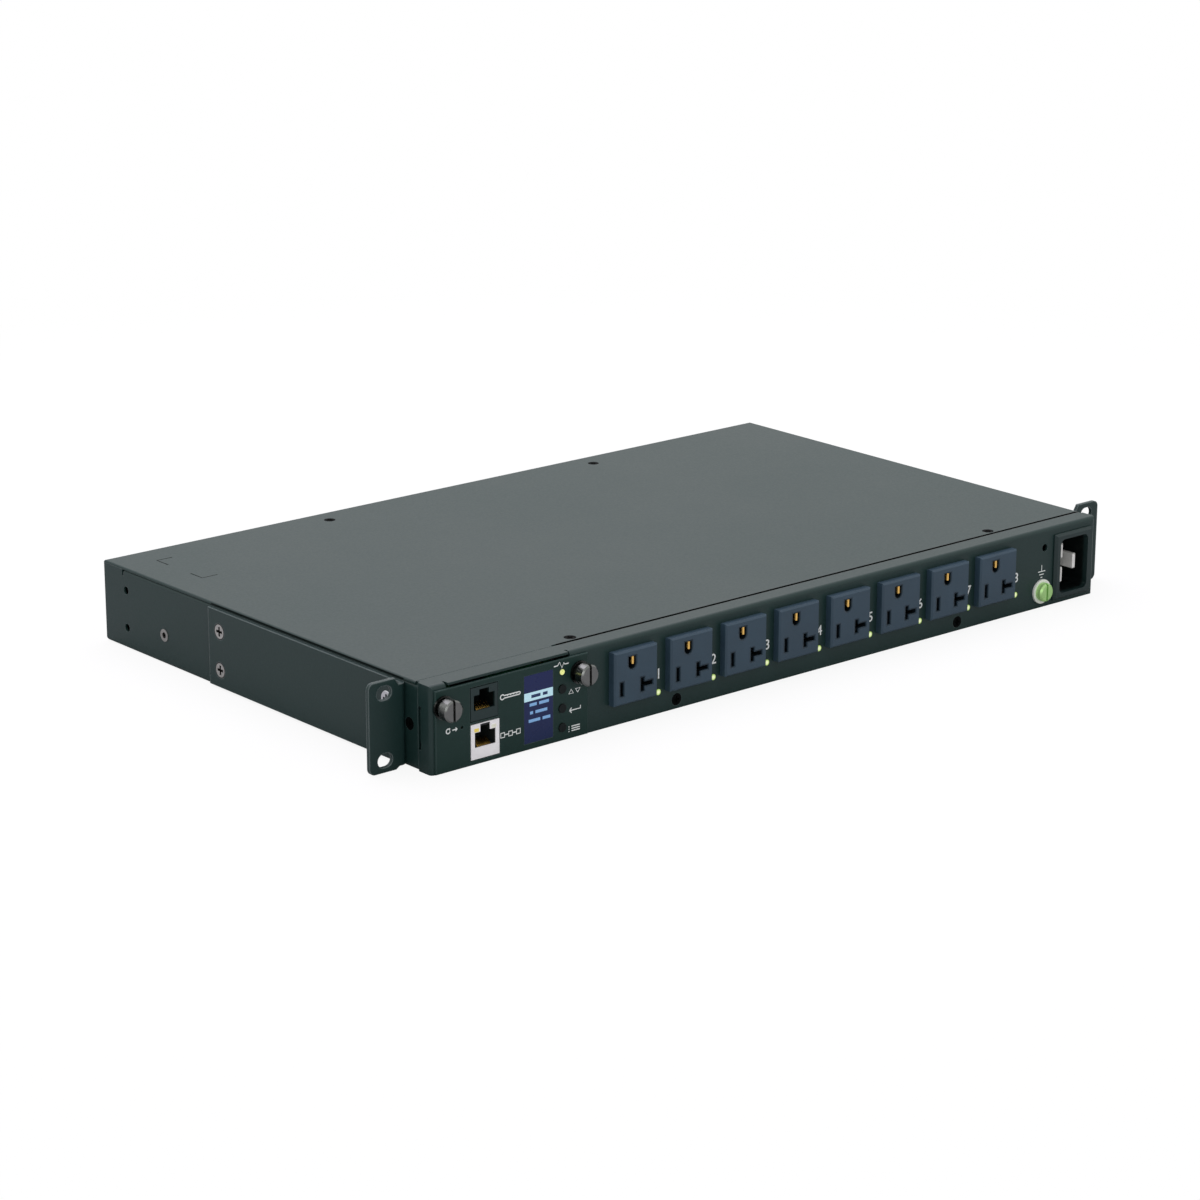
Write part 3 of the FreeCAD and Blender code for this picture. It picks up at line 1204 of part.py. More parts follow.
def make_dock():
    """A plug at the back of the module and the socket that it meets."""
    low = f"({CONTROL_LEVEL} + board_sheet)"
    high = f"({low} + dock_height)"
    plug_y = (f"{PLUG_BACK} - dock_depth", PLUG_BACK)
    half = "(dock_width / 2)"
    tongue_half = "(dock_width / 2 - dock_wall - dock_gap)"
    tongue_z = around(f"(({low} + {high}) / 2)", "dock_tongue_sheet / 2")
    slot_z = around(f"(({low} + {high}) / 2)", "dock_tongue_sheet / 2 + dock_gap")
    plug = block("dock_plug_block", around(DOCK_X, half), plug_y, (low, high))
    slot_y = (f"{PLUG_BACK} - dock_tongue", f"{PLUG_BACK} + {PAST}")
    slot = block("dock_slot", around(DOCK_X, f"{half} - dock_wall"), slot_y, slot_z)
    piece(cut("dock_plug", plug, [slot]), "dock_plug")
    socket_front = f"{PLUG_BACK} + dock_gap"
    socket_y = (socket_front, f"{socket_front} + dock_body")
    body = block("dock_socket_block", around(DOCK_X, half), socket_y, ("sheet", high))
    tongue_y = (f"{PLUG_BACK} - dock_tongue + dock_gap", socket_front)
    tongue = block("dock_tongue_block", around(DOCK_X, tongue_half), tongue_y, tongue_z)
    piece(join("dock_socket", [body, tongue]), "dock_socket")


def mouth(left, width, sill, top):
    """Outline of a jack's mouth with its latch notch up to a given height."""
    middle = f"({left} + {width} / 2)"
    half = "mouth_width / 2"
    latch = "latch_width / 2"
    roof = f"{sill} + mouth_height"
    return [
        (f"{middle} - {half}", sill), (f"{middle} + {half}", sill), (f"{middle} + {half}", roof),
        (f"{middle} + {latch}", roof), (f"{middle} + {latch}", top),
        (f"{middle} - {latch}", top), (f"{middle} - {latch}", roof), (f"{middle} - {half}", roof),
    ]


def jack_contacts(name, left, width, sill):
    """Slanted spring contacts on the floor of a jack's mouth."""
    wires = []
    start = f"({PLATE_FRONT} + wire_start)"
    profile = [
        (start, sill), (f"{start} + wire_thickness", sill),
        (f"{start} + wire_thickness + wire_run", f"{sill} + wire_rise"),
        (f"{start} + wire_run", f"{sill} + wire_rise"),
    ]
    for index in range(CONTACTS):
        wire = body_named(f"{name}_wire_{index}")
        x = f"{left} + {width} / 2 + {index - (CONTACTS - 1) / 2} * wire_pitch - wire_width / 2"
        pad(wire, "YZ_Plane", x, [profile], "wire_width")
        wires.append(wire)
    piece(group(name, wires), name)


def make_jacks():
    depth = "interface_offset + seat_gap + plate_sheet"
    level = f"-{PLATE_FRONT}"
    sill = f"({SENSOR_LEVEL} + sensor_sill)"
    body = body_named("sensor_jack_body")
    right = f"{JACK_LEFT} + sensor_width"
    outline = rect(JACK_LEFT, right, SENSOR_LEVEL, f"{SENSOR_LEVEL} + sensor_height")
    pad(body, "XZ_Plane", level, [outline], depth, back=True)
    top = f"{sill} + mouth_height + latch_height"
    pocket(body, "XZ_Plane", level, [mouth(JACK_LEFT, "sensor_width", sill, top)], "mouth_depth")
    piece(body, "sensor_jack")
    jack_contacts("sensor_jack_contacts", JACK_LEFT, "sensor_width", sill)

    sill = f"({NETWORK_LEVEL} + network_sill)"
    roof = f"({NETWORK_LEVEL} + network_height)"
    shell = body_named("network_shell_body")
    right = f"{JACK_LEFT} + network_width"
    pad(shell, "XZ_Plane", level, [rect(JACK_LEFT, right, NETWORK_LEVEL, roof)], depth, back=True)
    hollow(shell, "shell_sheet", lambda face: on(face, y=INTERFACE))
    window = mouth(JACK_LEFT, "network_width", sill, f"{roof} - shell_sheet")
    pocket(shell, "XZ_Plane", level, [window], "shell_sheet")
    piece(shell, "network_jack_shell")
    insert = body_named("network_insert_body")
    inset = "(shell_sheet + shell_gap)"
    width = (f"{JACK_LEFT} + {inset}", f"{right} - {inset}")
    outline = rect(*width, f"{NETWORK_LEVEL} + {inset}", f"{roof} - {inset}")
    front = f"-({PLATE_FRONT} + {inset})"
    pad(insert, "XZ_Plane", front, [outline], f"{depth} - {inset}", back=True)
    top = f"{sill} + mouth_height + latch_height"
    pocket(insert, "XZ_Plane", front, [mouth(JACK_LEFT, "network_width", sill, top)], "mouth_depth")
    piece(insert, "network_jack_insert")
    jack_contacts("network_jack_contacts", JACK_LEFT, "network_width", sill)


def make_display():
    body = body_named("display_body")
    left = f"{PLATE_LEFT} + display_inset"
    right = f"{left} + display_width"
    high = f"{DISPLAY_LEVEL} + display_height"
    frame = rect(f"{left} - display_border", f"{right} + display_border",
                 f"{DISPLAY_LEVEL} - display_border", f"{high} + display_border")
    pad(body, "XZ_Plane", f"-{PLATE_BACK}", [frame], "display_depth", back=True)
    window = rect(left, right, DISPLAY_LEVEL, high)
    pad(body, "XZ_Plane", f"-{PLATE_BACK}", [window], "plate_sheet")
    piece(body, "display")


def make_status_light():
    face = f"{PLATE_FRONT} - light_proud"
    light = turned("status_light", BUTTON_X, "status_level", [
        ("0", face), ("status_radius", face), ("status_radius", INTERFACE), ("0", INTERFACE),
    ])
    piece(light, "status_light")


def make_buttons():
    switches = []
    end = f"({FRONT} + button_length)"
    collar = f"({PLATE_BACK} + button_gap)"
    switch_y = (f"{end} + button_travel + button_gap", INTERFACE)
    for name, level in BUTTONS:
        button = turned(name, BUTTON_X, level, [
            ("0", f"{PLATE_FRONT} - button_proud"),
            ("button_radius", f"{PLATE_FRONT} - button_proud"),
            ("button_radius", collar),
            ("button_collar", collar),
            ("button_collar", f"{collar} + button_collar_sheet"),
            ("button_radius", f"{collar} + button_collar_sheet"),
            ("button_radius", end),
            ("0", end),
        ])
        piece(button, name)
        z = around(level, "switch_size / 2")
        switches.append(block(f"{name}_switch", around(BUTTON_X, "switch_size / 2"), switch_y, z))
    plunger = turned("reset_button", RESET_X, "reset_level", [
        ("0", collar), ("reset_radius", collar), ("reset_radius", end), ("0", end),
    ])
    piece(plunger, "reset_button")
    z = around("reset_level", "switch_size / 2")
    switches.append(block("reset_switch", around(RESET_X, "switch_size / 2"), switch_y, z))
    piece(group("button_switches", switches), "button_switches")


def make_thumbscrews():
    rim = f"({PLATE_FRONT} - ferrule_rim)"
    neck = f"({rim} - thumb_running)"
    knob = f"({neck} - thumb_neck_length)"
    top = f"({knob} - thumb_knob_length)"
    bore = "(thumb_thread + thumb_running)"
    for side, x in zip(("left", "right"), THUMB_X):
        ferrule = turned(f"ferrule_{side}", x, "thumb_level", [
            (bore, rim), ("ferrule_radius", rim), ("ferrule_radius", PLATE_FRONT),
            ("ferrule_barrel", PLATE_FRONT), ("ferrule_barrel", PLATE_BACK), (bore, PLATE_BACK),
        ])
        piece(ferrule, f"ferrule_{side}")
        screw = turned(f"thumbscrew_blank_{side}", x, "thumb_level", [
            ("0", top), ("thumb_knob - thumb_bevel", top), ("thumb_knob", f"{top} + thumb_bevel"),
            ("thumb_knob", f"{knob} - thumb_bevel"), ("thumb_knob - thumb_bevel", knob),
            ("thumb_neck", knob), ("thumb_neck", neck), ("thumb_thread", neck),
            ("thumb_thread", f"{FRONT} + thumb_reach"), ("0", f"{FRONT} + thumb_reach"),
        ])
        slotted = driven(f"thumbscrew_{side}", screw, x, "thumb_level", top, "thumb_knob")
        piece(slotted, f"thumbscrew_{side}")


make_front_panel()
make_base_tray()
make_top_cover()
make_brackets()
make_case_fasteners()
for outlet in range(OUTLETS):
    make_outlet(outlet)
make_contacts()
make_outlet_lights()
make_inlet()
make_leads()
make_ground_screw()
make_boards()
make_divider()
make_faceplate()
make_sled()
make_controller_boards()
make_dock()
make_jacks()
make_display()
make_status_light()
make_buttons()
make_thumbscrews()
doc.recompute()

failed = [item.Name for item in doc.Objects if "Invalid" in item.State or "Error" in item.State]
unsound = [item.Label for item in pieces if item.Shape.isNull() or not item.Shape.isValid()]
if failed or unsound:
    raise RuntimeError(f"failed objects {failed}, unsound shapes {unsound}")
os.makedirs("parts", exist_ok=True)
for item in pieces:
    item.Shape.exportStep(f"parts/{item.Label}.step")
print(len(pieces), "pieces")
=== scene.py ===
import json
import math

import bmesh
import bpy
from mathutils import Matrix, Vector


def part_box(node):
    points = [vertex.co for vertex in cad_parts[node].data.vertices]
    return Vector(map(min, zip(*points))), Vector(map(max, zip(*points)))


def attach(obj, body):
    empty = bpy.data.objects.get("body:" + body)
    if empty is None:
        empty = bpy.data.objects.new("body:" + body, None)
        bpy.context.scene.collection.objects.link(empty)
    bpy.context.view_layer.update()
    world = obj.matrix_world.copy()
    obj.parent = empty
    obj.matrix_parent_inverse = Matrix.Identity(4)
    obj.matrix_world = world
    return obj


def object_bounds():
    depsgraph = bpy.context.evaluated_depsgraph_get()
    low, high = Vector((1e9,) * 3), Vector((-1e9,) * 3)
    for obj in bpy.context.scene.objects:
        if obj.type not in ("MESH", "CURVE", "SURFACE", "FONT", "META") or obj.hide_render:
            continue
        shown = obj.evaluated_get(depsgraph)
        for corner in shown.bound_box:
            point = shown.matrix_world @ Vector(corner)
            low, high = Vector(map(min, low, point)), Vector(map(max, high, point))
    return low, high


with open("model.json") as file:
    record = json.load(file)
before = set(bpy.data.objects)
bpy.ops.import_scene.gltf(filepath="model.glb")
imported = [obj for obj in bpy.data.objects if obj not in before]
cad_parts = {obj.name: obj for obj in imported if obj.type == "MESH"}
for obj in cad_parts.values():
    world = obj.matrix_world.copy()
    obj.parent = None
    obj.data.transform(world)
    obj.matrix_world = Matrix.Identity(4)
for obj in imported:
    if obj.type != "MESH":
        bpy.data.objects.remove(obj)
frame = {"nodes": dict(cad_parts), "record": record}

mm = 0.001
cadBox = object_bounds()
slotOf = {entry["node"]: entry["material_slot"] for entry in frame["record"]["subparts"]}
scene = bpy.context.scene
scene.view_settings.view_transform = "Standard"
print("frame loaded,", len(frame["nodes"]), "nodes")


class Wire:  # a node's output that takes part in sums the way a number does
    def __init__(self, tree, socket=None):
        self.tree = tree
        self.socket = socket

    def node(self, kind, settings=None, sockets=None, output=0):
        made = self.tree.nodes.new("ShaderNode" + kind)
        for name, value in (settings or {}).items():
            setattr(made, name, value)
        for name, value in (sockets or {}).items():
            if isinstance(value, Wire):
                self.tree.links.new(value.socket, made.inputs[name])
            else:
                made.inputs[name].default_value = value
        return Wire(self.tree, made.outputs[output])

    def maths(self, operation, first, second=0.0):
        return self.node("Math", {"operation": operation}, {0: first, 1: second})

    def __add__(self, other):
        return self.maths("ADD", self, other)

    def __radd__(self, other):
        return self.maths("ADD", other, self)

    def __sub__(self, other):
        return self.maths("SUBTRACT", self, other)

    def __rsub__(self, other):
        return self.maths("SUBTRACT", other, self)

    def __mul__(self, other):
        return self.maths("MULTIPLY", self, other)

    def __rmul__(self, other):
        return self.maths("MULTIPLY", other, self)

    def __truediv__(self, other):
        return self.maths("DIVIDE", self, other)

    def __gt__(self, other):
        return self.maths("GREATER_THAN", self, other)

    def __lt__(self, other):
        return self.maths("LESS_THAN", self, other)


def tint(red, green, blue):  # a colour as a picture editor gives it, as scene light
    steps = [value / 255 for value in (red, green, blue)]
    light = [step / 12.92 if step <= 0.04045 else ((step + 0.055) / 1.055) ** 2.4 for step in steps]
    return (*light, 1.0)


def shaded(colour, share):
    return (*[value * share for value in colour[:3]], 1.0)


# Small pieces of shader that every finish is put together from.

def newFinish(name, fixed=None):
    material = bpy.data.materials.new(name)
    material.use_nodes = True
    shader = material.node_tree.nodes["Principled BSDF"]
    for label, value in (fixed or {}).items():
        shader.inputs[label].default_value = value
    place = Wire(material.node_tree).node("TexCoord", output="Object")
    return material, place


def feed(material, wires):
    shader = material.node_tree.nodes["Principled BSDF"]
    for label, wire in wires.items():
        material.node_tree.links.new(wire.socket, shader.inputs[label])


def stretched(place, factors):
    return place.node("VectorMath", {"operation": "MULTIPLY"}, {0: place, 1: factors})


def grain(place, size, detail=2.0):  # cloudy noise, one lump about this wide
    return place.node("TexNoise", None, {"Vector": place, "Scale": 1 / size, "Detail": detail})


def levels(wire, low, high, toLow=0.0, toHigh=1.0):
    ends = {"Value": wire, "From Min": low, "From Max": high, "To Min": toLow, "To Max": toHigh}
    return wire.node("MapRange", None, ends)


def mixed(factor, first, second):
    return factor.node("Mix", {"data_type": "RGBA"}, {0: factor, 6: first, 7: second}, 2)


def relief(height, depth, under=None):  # depth is the real height of the bumps
    sockets = {"Height": height, "Distance": depth, "Strength": 1.0}
    if under:
        sockets["Normal"] = under
    return height.node("Bump", None, sockets)


def softEdge(place, radius):  # corners catch the light as a worn or painted edge does
    return place.node("Bevel", {"samples": 4}, {"Radius": radius})


def part(place, axis):
    return place.node("SeparateXYZ", None, {0: place}, "XYZ".index(axis))


def distance(wire, other):  # how far two values lie apart
    return wire.maths("ABSOLUTE", wire - other)


def radial(first, second):
    return first.maths("SQRT", first * first + second * second)


def repeated(wire, pitch, start):  # signed distance from the nearest of a row of places
    return wire.node("Math", {"operation": "WRAP"}, {0: wire - start, 1: pitch / 2, 2: -pitch / 2})


# Finishes, one function for each kind of surface.

shell = {
    "coverFront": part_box("top_cover")[0].y,
    "top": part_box("top_cover")[1].z,
    "side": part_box("base_tray")[1].x,
    "sideSkin": 0.1 * mm,  # paint this near the side counts as the side
    "bracketEnds": (-113.0 * mm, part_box("bracket_left")[1].y),  # of their plates along the sides
    "bracketTop": 40.0 * mm,
    "stripFade": (0.2 * mm, 0.6 * mm),  # painted shade over a bracket sets in between these depths
    "seam": 1.6 * mm,  # open part of the gap between the cover and the front panel
    "seamFrom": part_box("bay_divider")[0].x,
    "seamRim": 0.5 * mm,  # rounded edge on each side of it, painted dark with the seam as shade
    "seamDepth": 3.0 * mm,
    "closedSeam": 0.3 * mm,
}


def crevices(place):
    # painted shade in the seam before the cover and on the strip over each bracket
    y = part(place, "Y")
    z = part(place, "Z")
    half = shell["seam"] / 2
    middle = shell["coverFront"] - shell["closedSeam"] + half
    seam = levels(distance(y, middle), half + shell["seamRim"], half + shell["seamRim"] / 2)
    seam = seam * (z > shell["top"] - shell["seamDepth"]) * (part(place, "X") > shell["seamFrom"])
    front, back = shell["bracketEnds"]
    shallow, deep = shell["stripFade"]
    strip = (distance(part(place, "X"), 0) > shell["side"] - shell["sideSkin"]) * (y > front) * (y < back)
    strip = strip * (z > shell["bracketTop"]) * levels(z, shell["top"] - shallow, shell["top"] - deep)
    return seam.maths("MAXIMUM", seam, strip)


powder = {
    "colour": tint(23, 46, 44),
    "mottleSize": 70 * mm,
    "mottle": 0.03,
    "peelSize": 1.3 * mm,
    "peelDepth": 0.028 * mm,
    "peelRough": 0.10,
    "grit": 0.35 * mm,
    "gritShare": 0.35,  # of the grit in the bumps
    "speckle": (0.62, 0.72),  # grit above these heights shows paler
    "speckleTone": 1.5,
    # share of the colour kept in the painted shade of the seam and bracket strips
    "paintedCreviceTone": 0.2,
    "rough": 0.44,
    "specular": 0.32,
    "edge": 0.5 * mm,
    # painted highlight: the paler colour of sharp edges and how much of it shows
    "edgeHighlightColour": tint(104, 120, 120),
    "edgeHighlightShare": 0.55,
    "edgeBend": (0.97, 0.80),  # likeness of normals where an edge begins and where it is full
}


def powderCoat(name, look):
    material, place = newFinish(name, {"Specular IOR Level": look["specular"]})
    cloud = levels(grain(place, look["mottleSize"], 3.0), 0.35, 0.65)
    peel = grain(place, look["peelSize"])
    grit = grain(place, look["grit"], 1.0)
    dark = shaded(look["colour"], 1 - look["mottle"])
    pale = shaded(look["colour"], 1 + look["mottle"])
    body = mixed(cloud, dark, pale)
    speckled = mixed(levels(grit, *look["speckle"]), body, shaded(look["colour"], look["speckleTone"]))
    bend = softEdge(place, look["edge"])
    flat = place.node("NewGeometry", output="Normal")
    likeness = place.node("VectorMath", {"operation": "DOT_PRODUCT"}, {0: bend, 1: flat}, "Value")
    paintedEdgeLight = levels(likeness, *look["edgeBend"]) * look["edgeHighlightShare"]  # painted highlight: sharp edges get a paler colour, as where they catch the light
    coatWithHighlight = mixed(paintedEdgeLight, speckled, look["edgeHighlightColour"])
    deep = crevices(place)
    feed(material, {
        "Base Color": mixed(deep, coatWithHighlight, shaded(look["colour"], look["paintedCreviceTone"])),
        "Metallic": deep,  # painted shade also takes the white gloss away down there
        "Roughness": look["rough"] + look["peelRough"] * (peel - 0.5) + 0.02 * (cloud - 0.5),
        "Normal": relief(peel + look["gritShare"] * grit, look["peelDepth"], bend),
    })
    return material


plastic = {
    "flowSize": 16 * mm,
    "flowTones": (0.93, 1.07),
    # share of the colour kept in painted shade inside openings
    "paintedHollowTone": 0.12,
    "edge": 0.2 * mm,
}


def mouldedPlastic(name, colour, rough=0.46, specular=0.35, sparkSize=0.28 * mm, sparkDepth=0.010 * mm,
                   paintedHollowShade=None, lip=None):
    # painted shade: one argument gives how far a place lies inside an opening, which is painted dark
    # there, and lip the height of a lead-in there
    material, place = newFinish(name, {"Specular IOR Level": specular})
    spark = grain(place, sparkSize, 1.0)
    flow = levels(grain(place, plastic["flowSize"], 3.0), 0.3, 0.7)
    skin = mixed(flow, *[shaded(colour, tone) for tone in plastic["flowTones"]])
    if paintedHollowShade:
        skin = mixed(paintedHollowShade(place), skin, shaded(colour, plastic["paintedHollowTone"]))
    edge = softEdge(place, plastic["edge"])
    if lip:
        edge = relief(lip(place), slotShapes["lipDepth"], edge)
    feed(material, {
        "Base Color": skin,
        "Roughness": rough + 0.10 * (spark - 0.5) + 0.05 * (flow - 0.5),
        "Normal": relief(spark, sparkDepth, edge),
    })
    return material


def platedMetal(name, colour, rough=0.22, lineSize=0.5 * mm, run="X", lineDepth=0.002 * mm, metal=1.0):
    lineStretch = 0.05  # lines run twenty times as long as they are wide
    material, place = newFinish(name, {"Metallic": metal})
    along = [lineStretch if axis == run else 1.0 for axis in "XYZ"]
    lines = grain(stretched(place, along), lineSize, 2.0)
    haze = levels(grain(place, 7 * mm, 3.0), 0.3, 0.7)
    feed(material, {
        "Base Color": mixed(haze, shaded(colour, 0.92), colour),
        "Roughness": rough + 0.12 * (haze - 0.5) + 0.10 * (lines - 0.5),
        "Normal": relief(lines, lineDepth),
    })
    return material


def turnedMetal(name, colour, centre, rough=0.24, pitch=0.16 * mm, lineDepth=0.004 * mm):
    # lathe marks ring an axis that runs front to back
    material, place = newFinish(name, {"Metallic": 1.0})
    offset = place.node("VectorMath", {"operation": "SUBTRACT"}, {0: place, 1: centre})
    radius = place.node("VectorMath", {"operation": "LENGTH"}, {0: stretched(offset, (1, 0, 1))}, "Value")
    rings = radius.maths("SINE", radius * (2 * math.pi / pitch))
    haze = levels(grain(place, 3 * mm, 3.0), 0.3, 0.7)
    feed(material, {
        "Base Color": mixed(haze, shaded(colour, 0.9), colour),
        "Roughness": rough + 0.10 * (haze - 0.5),
        "Normal": relief(rings, lineDepth),
    })
    return material


crossHead = {
    "sunk": 0.35 * mm,  # under the head's top, where it is painted dark as shade
    "flush": 0.05 * mm,
    "rim": (0.55 * mm, 0.35 * mm),  # ring inside the head's edge, painted dark as shade
    "paintedRecessTone": 0.05,
    "edge": 0.15 * mm,
}


def crossHeadMetal(name, colour, corners, look):
    # heads of two screws on each side plate; the recess and the sunk rim are painted dark as shade
    low, high = corners
    material, place = newFinish(name, {"Metallic": 1.0})
    raised = levels(distance(part(place, "X"), 0), high.x - look["sunk"], high.x - look["flush"])
    headRadius = (high.y - low.y) / 2
    apart = (high.z - low.z) / 2 - headRadius
    up = distance(distance(part(place, "Z"), (low.z + high.z) / 2), apart)
    radius = radial(part(place, "Y") - (low.y + high.y) / 2, up)
    inner, outer = look["rim"]
    raised = raised * levels(radius, headRadius - inner, headRadius - outer, 1.0, 0.0)
    haze = levels(grain(place, 2 * mm, 3.0), 0.3, 0.7)
    bright = mixed(haze, shaded(colour, 0.85), colour)
    feed(material, {
        "Base Color": mixed(raised, shaded(colour, look["paintedRecessTone"]), bright),
        "Roughness": 0.55 - 0.2 * raised + 0.10 * (haze - 0.5),
        "Normal": relief(grain(place, 0.3 * mm), 0.003 * mm, softEdge(place, look["edge"])),
    })
    return material


def spangledZinc(name, colour, flakeSize=4 * mm):
    material, place = newFinish(name, {"Metallic": 1.0})
    flakes = place.node("TexVoronoi", None, {"Vector": place, "Scale": 1 / flakeSize}, "Color")
    tone = part(flakes, "X")
    fine = grain(place, 0.4 * mm)
    feed(material, {
        "Base Color": mixed(tone, shaded(colour, 0.86), colour),
        "Roughness": 0.32 + 0.12 * (tone - 0.5) + 0.06 * (fine - 0.5),
        "Normal": relief(fine, 0.002 * mm),
    })
    return material


def circuitBoard(name, look):
    material, place = newFinish(name, {"Specular IOR Level": 0.5})
    rise = part(place, "Y") + part(place, "Z")  # runs across flat and upright boards alike
    cell = place.node("VectorMath", {"operation": "SNAP"}, {0: place, 1: look["cell"]})
    chance = place.node("TexWhiteNoise", None, {"Vector": cell})
    line = rise.maths("PINGPONG", rise, look["pitch"]) < look["traceWidth"]
    copper = line * (chance > look["bare"])
    body = mixed(levels(grain(place, 30 * mm), 0.3, 0.7), look["mask"], shaded(look["mask"], 1.15))
    feed(material, {
        "Base Color": mixed(copper, body, look["trace"]),
        "Roughness": 0.36 - 0.06 * copper + 0.08 * (grain(place, 0.5 * mm) - 0.5),
        "Normal": relief(copper, look["copper"]),
    })
    return material


board = {
    "mask": tint(18, 92, 52),
    "trace": tint(38, 124, 70),
    "pitch": 0.8 * mm,
    "traceWidth": 0.3 * mm,
    "copper": 0.03 * mm,
    "cell": (14 * mm, 1.6 * mm, 1.6 * mm),
    "bare": 0.45,  # share of the cells that have no traces
}


def laminatedCore(name, colour, sheet=0.5 * mm):
    material, place = newFinish(name, {"Metallic": 0.6})
    height = part(place, "Y")
    sheets = height.maths("PINGPONG", height, sheet / 2) / (sheet / 2)
    rust = levels(grain(place, 5 * mm, 4.0), 0.45, 0.7)
    feed(material, {
        "Base Color": mixed(rust, colour, shaded(colour, 0.6)),
        "Roughness": 0.42 + 0.2 * rust,
        "Normal": relief(sheets, 0.05 * mm),
    })
    return material


def lampLens(name, glow, rim, strength, shownTo, centre=None, pitch=1.0, radius=1.0):
    # only the end that shows glows, brightest in its middle; the stem behind the panel has no glow and is
    # painted dark as shade
    fixed = {"Emission Strength": strength, "Coat Weight": 0.6, "Roughness": 0.18}
    material, place = newFinish(name, fixed)
    haze = levels(grain(place, 0.8 * mm, 2.0), 0.25, 0.75)
    shown = part(place, "Y") < shownTo
    core = haze
    if centre:
        out = radial(repeated(part(place, "X"), pitch, centre.x), part(place, "Z") - centre.z)
        core = levels(out, radius, 0.35 * radius) * (0.85 + 0.15 * haze)
    lens = mixed(core, rim, glow)
    feed(material, {
        "Base Color": mixed(shown, shaded(rim, 0.15), lens),
        "Emission Color": mixed(shown, (0, 0, 0, 1), lens),
        "Normal": relief(grain(place, 0.35 * mm), 0.01 * mm),
    })
    return material


def screenGlass(name, look):
    material, place = newFinish(name, {
        "Coat Weight": 0.15, "Coat Roughness": 0.08, "Specular IOR Level": 0.18,
        "Emission Strength": look["light"]})
    across = part(place, "X")
    height = part(place, "Z")
    columns = across.maths("PINGPONG", across, look["dot"] / 2) * (1 / look["dot"])
    rows = height.maths("PINGPONG", height, look["dot"] / 2) * (1 / look["dot"])
    cell = (columns > look["gap"]) * (rows > look["gap"])
    fade = levels(height, look["low"], look["high"])
    body = mixed(fade, look["lowColour"], look["highColour"])
    dimmed = [shaded(look[end], look["gapTone"]) for end in ("lowColour", "highColour")]
    lit = mixed(cell, mixed(fade, *dimmed), body)
    feed(material, {
        "Base Color": lit,
        "Emission Color": lit,
        "Roughness": 0.28 + 0.05 * (grain(place, 6 * mm) - 0.5),
    })
    return material


def printedInk(name, colour, light=0.0):
    material, place = newFinish(name, {"Specular IOR Level": 0.3, "Emission Strength": light})
    wear = levels(grain(place, 0.5 * mm, 3.0), 0.3, 0.7)
    tone = mixed(wear, shaded(colour, 0.9), colour)
    feed(material, {
        "Base Color": tone,
        "Emission Color": tone,
        "Roughness": 0.55 + 0.1 * (wear - 0.5),
        "Normal": relief(grain(place, 0.3 * mm), 0.005 * mm),
    })
    return material


def wireSheath(name, colour):
    return mouldedPlastic(
        name, colour, rough=0.38, specular=0.4, sparkSize=0.8 * mm, sparkDepth=0.006 * mm)


screen = {
    "low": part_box("display")[0].z,
    "high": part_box("display")[1].z,
    "lowColour": tint(26, 38, 74),
    "highColour": tint(24, 35, 80),
    "dot": 0.28 * mm,
    "gap": 0.06,  # share of a dot that stays dark on each side
    "gapTone": 0.8,
    "light": 0.16,
}
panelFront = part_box("front_panel")[0].y
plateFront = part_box("controller_faceplate")[0].y


def middleOf(node):
    low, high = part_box(node)
    return (low + high) / 2


outletRow = {
    "first": middleOf("outlet_1"),
    "pitch": middleOf("outlet_2").x - middleOf("outlet_1").x,
    "face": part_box("outlet_1")[0].y,
    "solidRim": 11.5 * mm,  # slots lie nearer than this to an outlet's middle
    "slotShade": (0.15 * mm, 0.9 * mm),  # painted shade darkens the slots between these depths
    "firstLight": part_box("outlet_lights")[0].x + 2.05 * mm,  # its middle
    "lightRadius": 1.45 * mm,
    "lensShown": 0.2 * mm,  # lenses glow down to this depth in their panel
}
firstLight = Vector((outletRow["firstLight"], 0, middleOf("outlet_lights").z))


def behind(plane, start=0.3 * mm, end=1.6 * mm):  # painted shade that begins just behind a front face
    return lambda place: levels(part(place, "Y"), plane + start, plane + end)


# painted shade inside each outlet's slots, darker with depth behind its face
def insideSlots(place):
    row = outletRow
    across = distance(repeated(part(place, "X"), row["pitch"], row["first"].x), 0)
    up = distance(part(place, "Z"), row["first"].z)
    within = (across < row["solidRim"]) * (up < row["solidRim"])
    return within * levels(part(place, "Y"), *[row["face"] + depth for depth in row["slotShade"]])


# Left, right, low and high of each slot about an outlet's middle.
slotShapes = {
    "line": (-9.95 * mm, -7.75 * mm, -8.65 * mm, -1.75 * mm),
    "tee": (2.75 * mm, 4.95 * mm, -8.65 * mm, -1.75 * mm),
    "arm": (4.95 * mm, 10.15 * mm, -6.3 * mm, -4.1 * mm),
    "ground": (-4.9 * mm, -0.1 * mm, 6.1 * mm, 9.9 * mm),
    "groundRound": (-2.5 * mm, 6.1 * mm, 2.4 * mm),  # middle and radius of its lower end
    "lip": 0.65 * mm,
    "lipDepth": 1.0 * mm,
}


def slotLip(place):  # a sloped lead-in runs round each slot
    x = repeated(part(place, "X"), outletRow["pitch"], outletRow["first"].x)
    z = part(place, "Z") - outletRow["first"].z
    u, v, radius = slotShapes["groundRound"]
    nearest = radial(x - u, z - v) - radius
    for name in ("line", "tee", "arm", "ground"):
        left, right, low, high = slotShapes[name]
        aside = distance(x, (left + right) / 2) - (right - left) / 2
        above = distance(z, (low + high) / 2) - (high - low) / 2
        nearest = x.maths("MINIMUM", nearest, x.maths("MAXIMUM", aside, above))
    return levels(nearest, 0, slotShapes["lip"])


